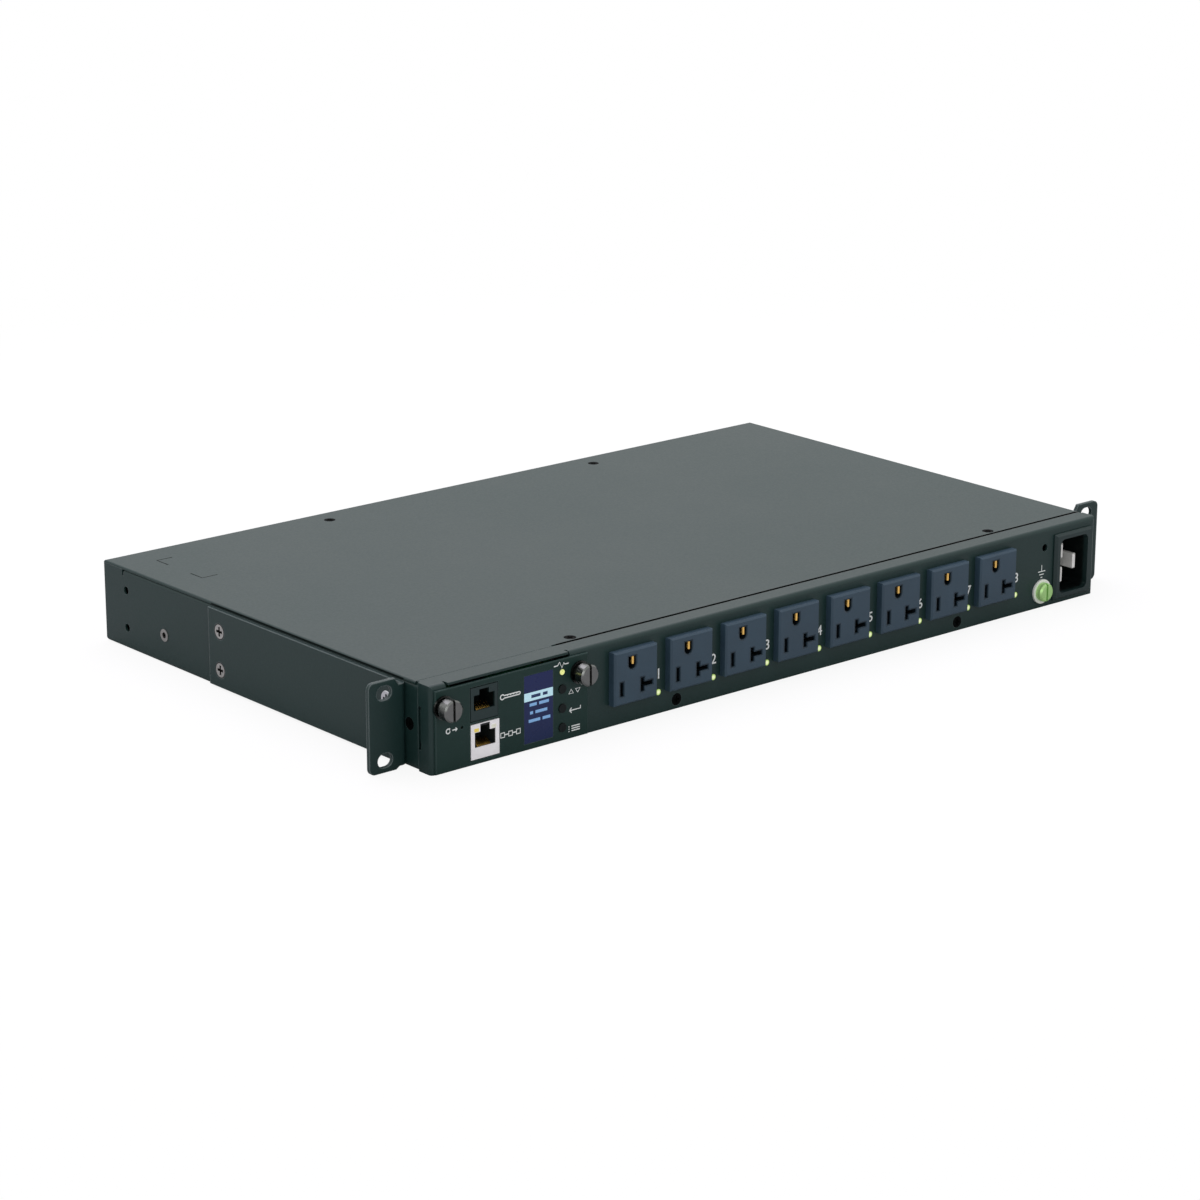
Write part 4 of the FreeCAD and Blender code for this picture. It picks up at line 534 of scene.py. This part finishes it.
finishes = {
    "case_paint": powderCoat("case_paint", powder),
    "plate_paint": powderCoat("plate_paint", {
        **powder, "colour": tint(20, 46, 42), "specular": 0.23, "mottleSize": 25 * mm, "rough": 0.42}),
    "black_screw": mouldedPlastic("black_screw", tint(9, 11, 11), rough=0.6, specular=0.02),
    "nickel": platedMetal("blade_nickel", tint(244, 244, 240), rough=0.42, run="Y", metal=0.3),
    "zinc_sheet": spangledZinc("zinc_sheet", tint(196, 199, 202)),
    "outlet_plastic": mouldedPlastic("outlet_plastic", tint(48, 68, 82), paintedHollowShade=insideSlots, lip=slotLip),
    # painted shade: the clips' brass is darkened, as they lie in shade inside the outlets
    "contact_brass": platedMetal("shaded_brass", tint(84, 60, 28), rough=0.4, run="Z"),
    "outlet_light": lampLens(
        "outlet_light", tint(240, 246, 196), tint(150, 186, 76), 0.45,
        panelFront + outletRow["lensShown"], firstLight, outletRow["pitch"], outletRow["lightRadius"]),
    "black_plastic": mouldedPlastic("black_plastic", tint(30, 34, 34)),
    "ground_green": platedMetal("ground_green", tint(172, 218, 138), rough=0.36, run="Y", metal=0.4),
    "board_green": circuitBoard("board_green", board),
    "relay_case": mouldedPlastic("relay_case", tint(26, 27, 29), rough=0.4),
    "transformer_core": laminatedCore("transformer_core", tint(120, 116, 110)),
    "capacitor_sleeve": mouldedPlastic("capacitor_sleeve", tint(34, 44, 92), rough=0.25, specular=0.5),
    "zinc_hardware": platedMetal("zinc_hardware", tint(200, 202, 205), rough=0.28, run="Z"),
    "line_insulation": wireSheath("line_insulation", tint(28, 28, 30)),
    "neutral_insulation": wireSheath("neutral_insulation", tint(222, 222, 218)),
    "earth_insulation": wireSheath("earth_insulation", tint(46, 122, 60)),
    "contact_gold": platedMetal("contact_gold", tint(236, 190, 96), rough=0.2, run="Y"),
    "jack_shell": platedMetal("jack_shell", tint(255, 253, 255), rough=0.36, run="X", metal=0.1),
    "display_window": screenGlass("display_window", screen),
    "status_lens": lampLens(
        "status_lens", tint(236, 240, 170), tint(200, 210, 110), 0.5,
        plateFront + outletRow["lensShown"]),
    # the button's sides behind its face are painted dark as shade
    "button_plastic": mouldedPlastic(
        "button_plastic", tint(22, 28, 28), rough=0.45, specular=0.12,
        paintedHollowShade=behind(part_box("menu_button")[0].y, 0.04 * mm, 0.2 * mm)),
}

# Pieces whose finish differs from the rest of their slot.
leafBrass = platedMetal("leaf_brass", tint(255, 206, 112), rough=0.3, run="Z", metal=0.5)
darkPlastic = {"colour": tint(25, 44, 44), "rough": 0.42}
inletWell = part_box("inlet_housing")[0].y + 2 * mm  # its rim stands before this plane
turnedTones = {"thumbscrew": tint(116, 118, 116), "ferrule": tint(74, 76, 74)}
ownFinish = {
    "bracket_screws": crossHeadMetal(
        "bracket_screws", tint(176, 176, 172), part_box("bracket_screws"), crossHead),
    "side_inserts": platedMetal("side_inserts", tint(150, 150, 147), rough=0.34),
    # inlet and sensor plastic are painted dark as shade inside their openings
    "inlet_housing": mouldedPlastic("inlet_plastic", paintedHollowShade=behind(inletWell), **darkPlastic),
    "sensor_jack": mouldedPlastic("sensor_plastic", paintedHollowShade=behind(plateFront), **darkPlastic),
    "ground_washer": platedMetal("ground_washer", tint(250, 250, 246), rough=0.4, run="Y", metal=0.15),
}
bracketPaint = powderCoat("bracket_paint", {
    # wider and stronger painted edge highlight on the brackets
    **powder, "edge": 0.9 * mm, "edgeHighlightShare": 0.9, "edgeBend": (0.985, 0.86),
    "edgeHighlightColour": tint(124, 136, 136)})
for side in ("left", "right"):
    ownFinish[f"bracket_{side}"] = bracketPaint
    for kind, tone in turnedTones.items():
        node = f"{kind}_{side}"
        ownFinish[node] = turnedMetal(node, tone, middleOf(node))

for node, obj in frame["nodes"].items():
    obj.data.materials.clear()
    obj.data.materials.append(ownFinish.get(node, finishes[slotOf[node]]))
print("finishes on", len(frame["nodes"]), "nodes")


# Stage: pale floor, white surroundings, soft lamps, and the camera of the photograph.

stage = {
    "half": 6.0,
    "floorDrop": 0.05 * mm,
    "floorColour": (0.60, 0.60, 0.60, 1.0),
    "shadowShare": 0.11,
    "shadowFrom": 0.35,  # the shadow fades out between these distances
    "shadowTo": 0.8,
    "worldLight": 0.62,
}


def makeFloor(look):
    grid = bmesh.new()
    bmesh.ops.create_grid(grid, x_segments=2, y_segments=2, size=look["half"])
    mesh = bpy.data.meshes.new("floor")
    grid.to_mesh(mesh)
    grid.free()
    floor = bpy.data.objects.new("floor", mesh)
    floor.location.z = cadBox[0].z - look["floorDrop"]
    scene.collection.objects.link(floor)
    material = bpy.data.materials.new("floor")
    material.use_nodes = True
    tree = material.node_tree
    tree.nodes.remove(tree.nodes["Principled BSDF"])
    start = Wire(tree)
    camera = start.node("LightPath", output="Is Camera Ray")
    tone = mixed(camera, look["floorColour"], (1, 1, 1, 1))
    lit = start.node("BsdfDiffuse", None, {"Color": tone})
    white = start.node("Emission", None, {"Color": (1, 1, 1, 1), "Strength": 1.0})
    place = start.node("TexCoord", output="Object")
    away = radial(part(place, "X"), part(place, "Y"))
    near = levels(away, look["shadowFrom"], look["shadowTo"], 1.0, 0.0)
    blank = camera * (1 - look["shadowShare"] * near)
    paper = start.node("MixShader", None, {0: blank, 1: lit, 2: white})
    tree.links.new(paper.socket, tree.nodes["Material Output"].inputs["Surface"])
    mesh.materials.append(material)


def makeWorld(look):
    world = bpy.data.worlds.new("white_room")
    scene.world = world
    world.use_nodes = True
    tree = world.node_tree
    start = Wire(tree)
    path = start.node("LightPath", output="Is Camera Ray")
    rays = path.socket.node.outputs
    glossy = Wire(tree, rays["Is Glossy Ray"])
    clear = Wire(tree, rays["Is Transmission Ray"])
    seen = path.maths("MAXIMUM", path, path.maths("MAXIMUM", glossy, clear))
    back = tree.nodes["Background"]
    back.inputs["Color"].default_value = (1, 1, 1, 1)
    strength = look["worldLight"] + (1 - look["worldLight"]) * seen
    tree.links.new(strength.socket, back.inputs["Strength"])


lamps = {
    "overhead": {
        "place": (0.1, 0.6, 1.8), "aim": (0, 0, 0), "size": (2.0, 2.0), "power": 24,
        "colour": (1.03, 0.94, 1.09),
    },
    "front_left": {
        "place": (-1.2, -1.9, 0.7), "aim": (-0.1, -0.1, 0), "size": (1.4, 0.9), "power": 7,
        "colour": (1, 1, 1),
    },
}


def softLamp(name, look):
    lamp = bpy.data.lights.new(name, "AREA")
    lamp.color = look["colour"]
    lamp.shape = "RECTANGLE"
    lamp.size, lamp.size_y = look["size"]
    lamp.energy = look["power"]
    obj = bpy.data.objects.new(name, lamp)
    obj.location = look["place"]
    ray = Vector(look["aim"]) - Vector(look["place"])
    obj.rotation_euler = ray.to_track_quat("-Z", "Y").to_euler()
    scene.collection.objects.link(obj)


shot = {
    "azimuth": -40.589,
    "elevation": 16.925,
    "roll": 0.110,
    "distance": 1603.84 * mm,
    "aim": (-120.82 * mm, -132.5 * mm, 63.07 * mm),
    "lens": 104.6,
    "sensor": 36.0,
}


def makeCamera(look):
    side = math.radians(look["azimuth"])
    lift = math.radians(look["elevation"])
    back = Vector((math.sin(side) * math.cos(lift), -math.cos(side) * math.cos(lift), math.sin(lift)))
    right = Vector((0, 0, 1)).cross(back).normalized()
    up = back.cross(right)
    axes = Matrix((right, up, back)).transposed() @ Matrix.Rotation(math.radians(look["roll"]), 3, "Z")
    data = bpy.data.cameras.new("camera")
    data.sensor_width = look["sensor"]
    data.lens = look["lens"]
    camera = bpy.data.objects.new("camera", data)
    spot = Vector(look["aim"]) + back * look["distance"]
    camera.matrix_world = Matrix.Translation(spot) @ axes.to_4x4()
    scene.collection.objects.link(camera)
    scene.camera = camera


makeFloor(stage)
makeWorld(stage)
for name, look in lamps.items():
    softLamp(name, look)
makeCamera(shot)
print("stage, lamps and camera set")


# Print and small trim. Every outline lies in a plane and stands a hair proud of it.

def addPiece(name, mesh, body, material):
    obj = bpy.data.objects.new(name, mesh)
    scene.collection.objects.link(obj)
    mesh.materials.clear()
    mesh.materials.append(material)
    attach(obj, body)
    return obj


def finished(shape, name):
    mesh = bpy.data.meshes.new(name)
    shape.to_mesh(mesh)
    shape.free()
    return mesh


def meshOf(curve):  # final mesh of a curve or text, with nothing left of the curve
    holder = bpy.data.objects.new(curve.name, curve)
    scene.collection.objects.link(holder)
    graph = bpy.context.evaluated_depsgraph_get()
    mesh = bpy.data.meshes.new_from_object(holder.evaluated_get(graph))
    bpy.data.objects.remove(holder)
    return mesh


def strokeMesh(name, strokes, width, plane, proud, facing="Y"):
    # strokes are point lists in the plane; a flattened tube gives each one a soft edge
    curve = bpy.data.curves.new(name, "CURVE")
    curve.dimensions = "3D"
    curve.bevel_depth = width / 2
    curve.bevel_resolution = 2
    curve.use_fill_caps = True
    for points, closed in strokes:
        spline = curve.splines.new("POLY")
        spline.points.add(len(points) - 1)
        for point, (u, v) in zip(spline.points, points):
            point.co = (u, plane, v, 1) if facing == "Y" else (u, v, plane, 1)
        spline.use_cyclic_u = closed
    mesh = meshOf(curve)
    axis = 1 if facing == "Y" else 2
    for vertex in mesh.vertices:
        vertex.co[axis] = plane + (vertex.co[axis] - plane) * proud / (width / 2)
    return mesh


def arcPoints(centre, radius, start, end, steps=14):
    turns = [math.radians(start + (end - start) * index / steps) for index in range(steps + 1)]
    return [(centre[0] + radius * math.cos(turn), centre[1] + radius * math.sin(turn)) for turn in turns]


whiteInk = printedInk("white_ink", tint(236, 240, 238))

numbers = {
    "tall": 5.2 * mm,
    "fontTall": 0.729,  # height of a figure in the default font at size 1
    "beside": 17.5 * mm,
    "above": -4.2 * mm,
    "bolder": 0.06 * mm,
    "proud": 0.05 * mm,
    "outlets": 8,
}


def printNumbers(look):
    joined = bmesh.new()
    for index in range(1, look["outlets"] + 1):
        text = bpy.data.curves.new(f"figure_{index}", "FONT")
        text.body = str(index)
        text.size = look["tall"] / look["fontTall"]
        text.align_x = "CENTER"
        text.align_y = "CENTER"
        text.offset = look["bolder"]
        text.extrude = look["proud"]
        mesh = meshOf(text)
        middle = middleOf(f"outlet_{index}")
        spot = Vector((middle.x + look["beside"], panelFront, middle.z + look["above"]))
        mesh.transform(Matrix.Translation(spot) @ Matrix.Rotation(math.pi / 2, 4, "X"))
        joined.from_mesh(mesh)
        bpy.data.meshes.remove(mesh)
    mesh = finished(joined, "outlet_numbers")
    addPiece("outlet_numbers", mesh, "chassis", whiteInk)


earthSign = {
    "above": 7.4 * mm,  # lowest bar over the ground screw's middle
    "bars": (1.5 * mm, 3.4 * mm, 5.4 * mm),
    "step": 1.6 * mm,
    "stem": 3.4 * mm,
    "stroke": 0.5 * mm,
    "proud": 0.05 * mm,
}


def printEarthSign(look):
    middle = middleOf("ground_screw")
    level = middle.z + look["above"]
    strokes = []
    for index, width in enumerate(look["bars"]):
        height = level + index * look["step"]
        strokes.append(([(middle.x - width / 2, height), (middle.x + width / 2, height)], False))
    strokes.append(([(middle.x, height), (middle.x, height + look["stem"])], False))
    mesh = strokeMesh("earth_sign", strokes, look["stroke"], panelFront, look["proud"])
    addPiece("earth_sign", mesh, "chassis", whiteInk)


# Signs on the controller's plate: middle of each from the plate's lower left corner, in mm.
plateSigns = {
    "stroke": 0.58,
    "proud": 0.05 * mm,
    "status": (73.1, 36.8),
    "scroll": (81.0, 22.7),
    "select": (81.2, 13.9),
    "menu": (80.8, 4.7),
    "sensor": (43.0, 28.7),
    "network": (43.0, 10.5),
    "reset": (8.6, 19.4),
}


def boxPoints(left, right, low, high):
    return [(left, low), (right, low), (right, high), (left, high)]


def signShapes():  # each sign's lines about its own middle, in mm
    pulse = [(-4.4, 0), (-2.2, 0), (-1.0, 1.5), (0.4, -1.5), (1.5, 0.8), (2.1, 0), (4.4, 0)]
    upDown = [[(-3.4, -0.9), (-0.6, -0.9), (-2.0, 1.1)], [(0.6, 0.9), (3.4, 0.9), (2.0, -1.1)]]
    enter = [[(3.4, 1.1), (3.4, -0.3), (-3.2, -0.3)], [(-1.9, 0.9), (-3.2, -0.3), (-1.9, -1.5)]]
    rows = [[(-1.6, row), (3.4, row)] for row in (-1.1, 0, 1.1)]
    dots = [[(-3.4, row), (-2.9, row)] for row in (-1.1, 0, 1.1)]
    bulb = arcPoints((-4.6, 0), 1.15, 32, 328)
    stem = [bulb[0], (5.2, 0.6), *arcPoints((5.2, 0), 0.6, 80, -80, 6), (5.2, -0.6), bulb[-1]]
    ticks = [[(at, 0.6), (at, 0.05)] for at in (-1.6, 0.2, 2.0, 3.8)]
    squares = [boxPoints(at - 1.1, at + 1.1, -1.1, 1.1) for at in (-4.6, 0, 4.6)]
    links = [[(at - 1.2, 0), (at + 1.2, 0)] for at in (-2.3, 2.3)]
    turn = arcPoints((-1.5, 0), 1.1, 60, 350)
    return {
        "status": [(pulse, False)],
        "scroll": [(points, True) for points in upDown],
        "select": [(points, False) for points in enter],
        "menu": [(points, False) for points in rows + dots],
        "sensor": [(bulb, False), (stem, False)] + [(points, False) for points in ticks],
        "network": [(points, True) for points in squares] + [(points, False) for points in links],
        "reset": [
            (turn, False), ([(-0.4, 1.3), (-0.9, 0.9), (-0.5, 0.3)], False),
            ([(0.9, 0), (3.6, 0)], False), ([(2.7, 0.8), (3.6, 0), (2.7, -0.8)], False),
        ],
    }


def printPlateSigns(look):
    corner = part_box("controller_faceplate")[0]
    for name, strokes in signShapes().items():
        left, low = look[name]
        moved = [
            ([(corner.x + (left + u) * mm, corner.z + (low + v) * mm) for u, v in points], closed)
            for points, closed in strokes
        ]
        mesh = strokeMesh(f"{name}_sign", moved, look["stroke"] * mm, plateFront, look["proud"])
        addPiece(f"{name}_sign", mesh, "controller", whiteInk)


# What the display shows: one chosen row and three more, as bars in place of words.
menuRows = {
    "barLow": 20.15 * mm,  # over the window's lower edge
    "barHigh": 24.2 * mm,
    "barColour": tint(180, 216, 228),
    "barText": tint(44, 62, 104),
    "rowColour": tint(118, 160, 204),
    "rowLevels": (18.2 * mm, 14.35 * mm, 10.5 * mm),
    "rowBars": (((3.2, 7.4), (8.8, 14.6)), ((3.4, 5.2), (6.6, 13.6)), ((2.6, 9.4), (10.8, 15.4))),
    "chosenBars": ((4.2, 9.6), (11.0, 13.8)),
    "barTall": 1.5 * mm,
    "barRound": 0.1 * mm,
    "light": 0.35,
    "proud": 0.03 * mm,
    "border": 1.0 * mm,  # of the display's frame round its window
}


def slabMesh(name, low, high, proud, radius):
    # a thin plate standing on the plane y of its corners, which are rounded
    shape = bmesh.new()
    edge = []
    for u, v, start in ((1, -1, -90), (1, 1, 0), (-1, 1, 90), (-1, -1, 180)):
        x = (low.x if u < 0 else high.x) - u * radius
        z = (low.z if v < 0 else high.z) - v * radius
        edge += arcPoints((x, z), radius, start, start + 90, 4)
    base = [shape.verts.new((u, low.y, v)) for u, v in edge]
    inner = [shape.verts.new((u, low.y - proud, v)) for u, v in edge]
    for index in range(len(edge)):
        after = (index + 1) % len(edge)
        shape.faces.new((base[index], inner[index], inner[after], base[after]))
    shape.faces.new(inner)
    shape.faces.new(base[::-1])
    bmesh.ops.recalc_face_normals(shape, faces=shape.faces)
    return finished(shape, name)


def showMenu(look):
    low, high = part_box("display")
    left = low.x + look["border"]
    right = high.x - look["border"]
    foot = low.z + look["border"]
    plane = low.y
    barLow = Vector((left, plane, foot + look["barLow"]))
    barHigh = Vector((right, plane, foot + look["barHigh"]))
    barInk = printedInk("menu_bar", look["barColour"], look["light"])
    rowInk = printedInk("menu_rows", look["rowColour"], look["light"])
    textInk = printedInk("menu_chosen", look["barText"])
    bar = slabMesh("menu_bar", barLow, barHigh, look["proud"], look["barRound"])
    addPiece("menu_bar", bar, "controller", barInk)

    def dashes(name, rows, depth, ink):
        strokes = []
        for level, bars in rows:
            strokes += [([(left + a * mm, level), (left + b * mm, level)], False) for a, b in bars]
        mesh = strokeMesh(name, strokes, look["barTall"], depth, look["proud"])
        addPiece(name, mesh, "controller", ink)

    chosen = foot + (look["barLow"] + look["barHigh"]) / 2
    dashes("menu_chosen", [(chosen, look["chosenBars"])], plane - look["proud"], textInk)
    levelsUp = [foot + level for level in look["rowLevels"]]
    dashes("menu_rows", list(zip(levelsUp, look["rowBars"])), plane, rowInk)


jackLamps = {
    "size": (2.6 * mm, 1.6 * mm),
    "aside": 5.0 * mm,  # from the jack's middle
    "below": 2.9 * mm,  # lamp's middle under the shell's upper edge
    "proud": 0.15 * mm,
    "round": 0.35 * mm,
    "rimTone": 0.8,
    "light": 0.15,
    "shown": 1.0 * mm,  # depth in the plate down to which the lens glows
    "colours": (("yellow", -1, tint(238, 214, 92)), ("clear", 1, tint(232, 232, 214))),
}


def addJackLamps(look):
    low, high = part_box("network_jack_shell")
    middle = middleOf("network_jack_shell").x
    level = high.z - look["below"]
    half = Vector((look["size"][0] / 2, 0, look["size"][1] / 2))
    for name, side, colour in look["colours"]:
        lamp = f"jack_lamp_{name}"
        spot = Vector((middle + side * look["aside"], low.y, level))
        mesh = slabMesh(lamp, spot - half, spot + half, look["proud"], look["round"])
        rim = shaded(colour, look["rimTone"])
        lens = lampLens(lamp, colour, rim, look["light"], plateFront + look["shown"])
        addPiece(lamp, mesh, "controller", lens)


# Rolled tip of the earth clip that shows in each ground hole.
groundLeaf = {
    "middle": -2.5 * mm,  # contact set from the outlet's middle
    "aside": 0.95 * mm,  # tip's middle from the hole's middle
    "radius": 0.7 * mm,
    "sheet": 0.25 * mm,
    "setback": 0.5 * mm,  # behind the outlet's face
    "tail": 1.8 * mm,  # leg that runs back to the clip
    "low": 5.9 * mm,  # over the outlet's middle
    "high": 9.6 * mm,
}


def addGroundLeaves(look):
    joined = bmesh.new()
    for index in range(1, numbers["outlets"] + 1):
        middle = middleOf(f"outlet_{index}")
        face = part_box(f"outlet_{index}")[0].y
        centre = (middle.x + look["middle"] + look["aside"], face + look["setback"] + look["radius"])
        back = centre[1] + look["tail"]
        outer = arcPoints(centre, look["radius"], 180, 360)
        inner = arcPoints(centre, look["radius"] - look["sheet"], 360, 180)
        outline = outer + [(outer[-1][0], back), (inner[0][0], back)] + inner
        rings = []
        for z in (middle.z + look["low"], middle.z + look["high"]):
            rings.append([joined.verts.new((x, y, z)) for x, y in outline])
        count = len(outline)
        for step in range(count):
            after = (step + 1) % count
            joined.faces.new((rings[0][step], rings[0][after], rings[1][after], rings[1][step]))
        joined.faces.new(rings[0][::-1])
        joined.faces.new(rings[1])
    bmesh.ops.recalc_face_normals(joined, faces=joined.faces)
    addPiece("ground_leaves", finished(joined, "ground_leaves"), "chassis", leafBrass)


# Front pair of bracket screws on each side, one of which shows through an ear's slot.
frontScrews = {
    "y": -103.0 * mm,
    "radius": 4.0 * mm,
    "proud": 0.4 * mm,
    "bevel": 0.25 * mm,
    "cross": (2.4 * mm, 0.65 * mm),  # half the span and half the width of the recess
    "steps": 36,  # round a head
}


def crossPoints(reach, half):
    corner = [(reach, -half), (reach, half), (half, half)]
    points = []
    for turn in range(4):
        points += corner
        corner = [(-v, u) for u, v in corner]
    return points


def screwHead(shape, centre, out, look):
    # a low head on a side plate, open at its cross recess so that the plate shows dark in it
    def ring(points, rise):
        x = centre.x + out * rise
        return [shape.verts.new((x, centre.y + u, centre.z + v)) for u, v in points]

    def wall(lower, upper):
        for step in range(len(lower)):
            after = (step + 1) % len(lower)
            shape.faces.new((lower[step], lower[after], upper[after], upper[step]))

    wide = arcPoints((0, 0), look["radius"], 0, 360, look["steps"])[:-1]
    narrow = arcPoints((0, 0), look["radius"] - look["bevel"], 0, 360, look["steps"])[:-1]
    cross = crossPoints(*look["cross"])
    foot = ring(wide, 0)
    shoulder = ring(wide, look["proud"] - look["bevel"])
    rim = ring(narrow, look["proud"])
    recess = ring(cross, look["proud"])
    wall(foot, shoulder)
    wall(shoulder, rim)
    wall(recess, ring(cross, 0))
    pairs = [(loop[step - 1], loop[step]) for loop in (rim, recess) for step in range(len(loop))]
    loops = [shape.edges.get(pair) for pair in pairs]
    bmesh.ops.triangle_fill(shape, use_beauty=True, edges=loops)


def addFrontScrews(look):
    heads = bmesh.new()
    low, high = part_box("bracket_screws")
    heights = [low.z + look["radius"], high.z - look["radius"]]
    for out, x in ((-1, low.x), (1, high.x)):
        for z in heights:
            screwHead(heads, Vector((x, look["y"], z)), out, look)
    bmesh.ops.recalc_face_normals(heads, faces=heads.faces)
    mesh = finished(heads, "front_screws")
    addPiece("front_screws", mesh, "chassis", finishes["zinc_hardware"])


# Two corner marks that are scribed on the cover near its back left corner.
coverMarks = {
    "fromLeft": 19.5 * mm,
    "fromBack": (18.2 * mm, 58.0 * mm),
    "arms": (9.0 * mm, 10.0 * mm),
    "stroke": 0.85 * mm,
    "proud": 0.02 * mm,
    "colour": tint(34, 40, 40),
}


def scribeCover(look):
    low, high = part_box("top_cover")
    x = low.x + look["fromLeft"]
    across, along = look["arms"]
    strokes = []
    for inset, way in zip(look["fromBack"], (-1, 1)):
        y = high.y - inset
        strokes.append(([(x + across, y), (x, y), (x, y + way * along)], False))
    mesh = strokeMesh("cover_marks", strokes, look["stroke"], high.z, look["proud"], facing="Z")
    ink = mouldedPlastic("cover_marks", look["colour"], rough=0.8, specular=0.05)
    addPiece("cover_marks", mesh, "chassis", ink)


# Parts on the controller's board, seen when the module is drawn out, all in mm.
boardParts = {
    # middle from the board's left front corner, width, depth, legs a side
    "chips": (
        (18, 24, 14, 14, 12), (45, 20, 7, 10, 7), (47, 42, 12, 8, 10),
        (17, 52, 8, 5, 4), (33, 66, 10, 7, 8),
    ),
    "chipTall": 1.7,
    "chipBevel": 0.2,
    "standoff": 0.15,
    "legWidth": 0.4,
    "legReach": 1.1,
    "legTuck": 0.1,  # of a leg's root in its chip
    "legSheet": 0.18,
    "shin": 0.2,
    "legBevel": 0.03,
    "legMargin": 0.7,  # from a chip's end to its last leg
    # middle, radius, height
    "cans": ((10, 80, 4.0, 9.0), (21, 82, 3.2, 7.5), (57, 64, 3.2, 8.0)),
    # middle, width, depth, height
    "blocks": ((54, 82, 12, 9, 7), (33, 44, 3, 1.6, 0.9), (33, 38, 3, 1.6, 0.9), (30, 14, 3, 1.6, 0.9)),
    "blockBevel": 0.15,
}


def bevelledBlock(shape, low, high, bevel):
    made = bmesh.ops.create_cube(shape, size=1.0)["verts"]
    for vert in made:
        vert.co = Vector([high[i] if vert.co[i] > 0 else low[i] for i in range(3)])
    edges = {edge for vert in made for edge in vert.link_edges}
    bmesh.ops.bevel(shape, geom=list(edges), offset=bevel, segments=2, affect="EDGES")


def canShape(shape, middle, radius, foot, height, steps=28):
    # a rolled can: groove near its foot, rounded rim and sunk lid
    profile = [
        (0.92, 0.0), (1.0, 0.03), (1.0, 0.14), (0.93, 0.18), (1.0, 0.22), (1.0, 0.94),
        (0.95, 0.99), (0.88, 1.0), (0.84, 0.97),
    ]
    rings = []
    for share, rise in profile:
        turns = [2 * math.pi * step / steps for step in range(steps)]
        rings.append([
            shape.verts.new((
                middle[0] + radius * share * math.cos(turn),
                middle[1] + radius * share * math.sin(turn),
                foot + height * rise,
            ))
            for turn in turns
        ])
    for lower, upper in zip(rings, rings[1:]):
        for step in range(steps):
            after = (step + 1) % steps
            shape.faces.new((lower[step], lower[after], upper[after], upper[step]))
    shape.faces.new(rings[0][::-1])
    shape.faces.new(rings[-1])


def addLeg(legs, root, side, at, deck, level, look):  # a gull-wing leg on one side of a chip
    low = at - look["legWidth"] * mm / 2
    high = at + look["legWidth"] * mm / 2
    sheet = look["legSheet"] * mm
    shinBack = look["shin"] * mm
    bevel = look["legBevel"] * mm
    knee = root + side * look["legReach"] * mm * 0.5
    tip = root + side * look["legReach"] * mm
    arm = sorted((root, knee))
    shin = sorted((knee - side * shinBack, knee))
    toe = sorted((knee - side * shinBack, tip))
    bevelledBlock(legs, (arm[0], low, level), (arm[1], high, level + sheet), bevel)
    bevelledBlock(legs, (shin[0], low, deck), (shin[1], high, level + shinBack / 2), bevel)
    bevelledBlock(legs, (toe[0], low, deck), (toe[1], high, deck + sheet), bevel)


def addChip(chips, legs, corner, deck, chip, look):
    x, y, width, depth, count = chip
    middle = Vector((corner.x + x * mm, corner.y + y * mm, deck + look["standoff"] * mm))
    half = Vector((width * mm / 2, depth * mm / 2, 0))
    tall = look["chipTall"] * mm
    bevelledBlock(chips, middle - half, middle + half + Vector((0, 0, tall)), look["chipBevel"] * mm)
    pitch = (depth - 2 * look["legMargin"]) * mm / (count - 1)
    for index in range(count):
        at = middle.y + (index - (count - 1) / 2) * pitch
        for side in (-1, 1):
            root = middle.x + side * (half.x - look["legTuck"] * mm)
            addLeg(legs, root, side, at, deck, middle.z + tall * 0.5, look)


def fillBoard(look):
    corner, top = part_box("controller_board")
    deck = top.z
    chips = bmesh.new()
    legs = bmesh.new()
    cans = bmesh.new()
    for chip in look["chips"]:
        addChip(chips, legs, corner, deck, chip, look)
    for x, y, width, depth, tall in look["blocks"]:
        foot = Vector((corner.x + x * mm, corner.y + y * mm, deck))
        half = Vector((width * mm / 2, depth * mm / 2, 0))
        lid = foot + half + Vector((0, 0, tall * mm))
        bevelledBlock(chips, foot - half, lid, look["blockBevel"] * mm)
    for x, y, radius, tall in look["cans"]:
        canShape(cans, (corner.x + x * mm, corner.y + y * mm), radius * mm, deck, tall * mm)
    for name, shape, slot in (
        ("board_chips", chips, "relay_case"),
        ("board_legs", legs, "zinc_hardware"),
        ("board_cans", cans, "capacitor_sleeve"),
    ):
        bmesh.ops.recalc_face_normals(shape, faces=shape.faces)
        addPiece(name, finished(shape, name), "controller", finishes[slot])


printNumbers(numbers)
printEarthSign(earthSign)
printPlateSigns(plateSigns)
showMenu(menuRows)
scribeCover(coverMarks)
print("print and signs done")
addJackLamps(jackLamps)
addGroundLeaves(groundLeaf)
addFrontScrews(frontScrews)
fillBoard(boardParts)
print("small trim done")
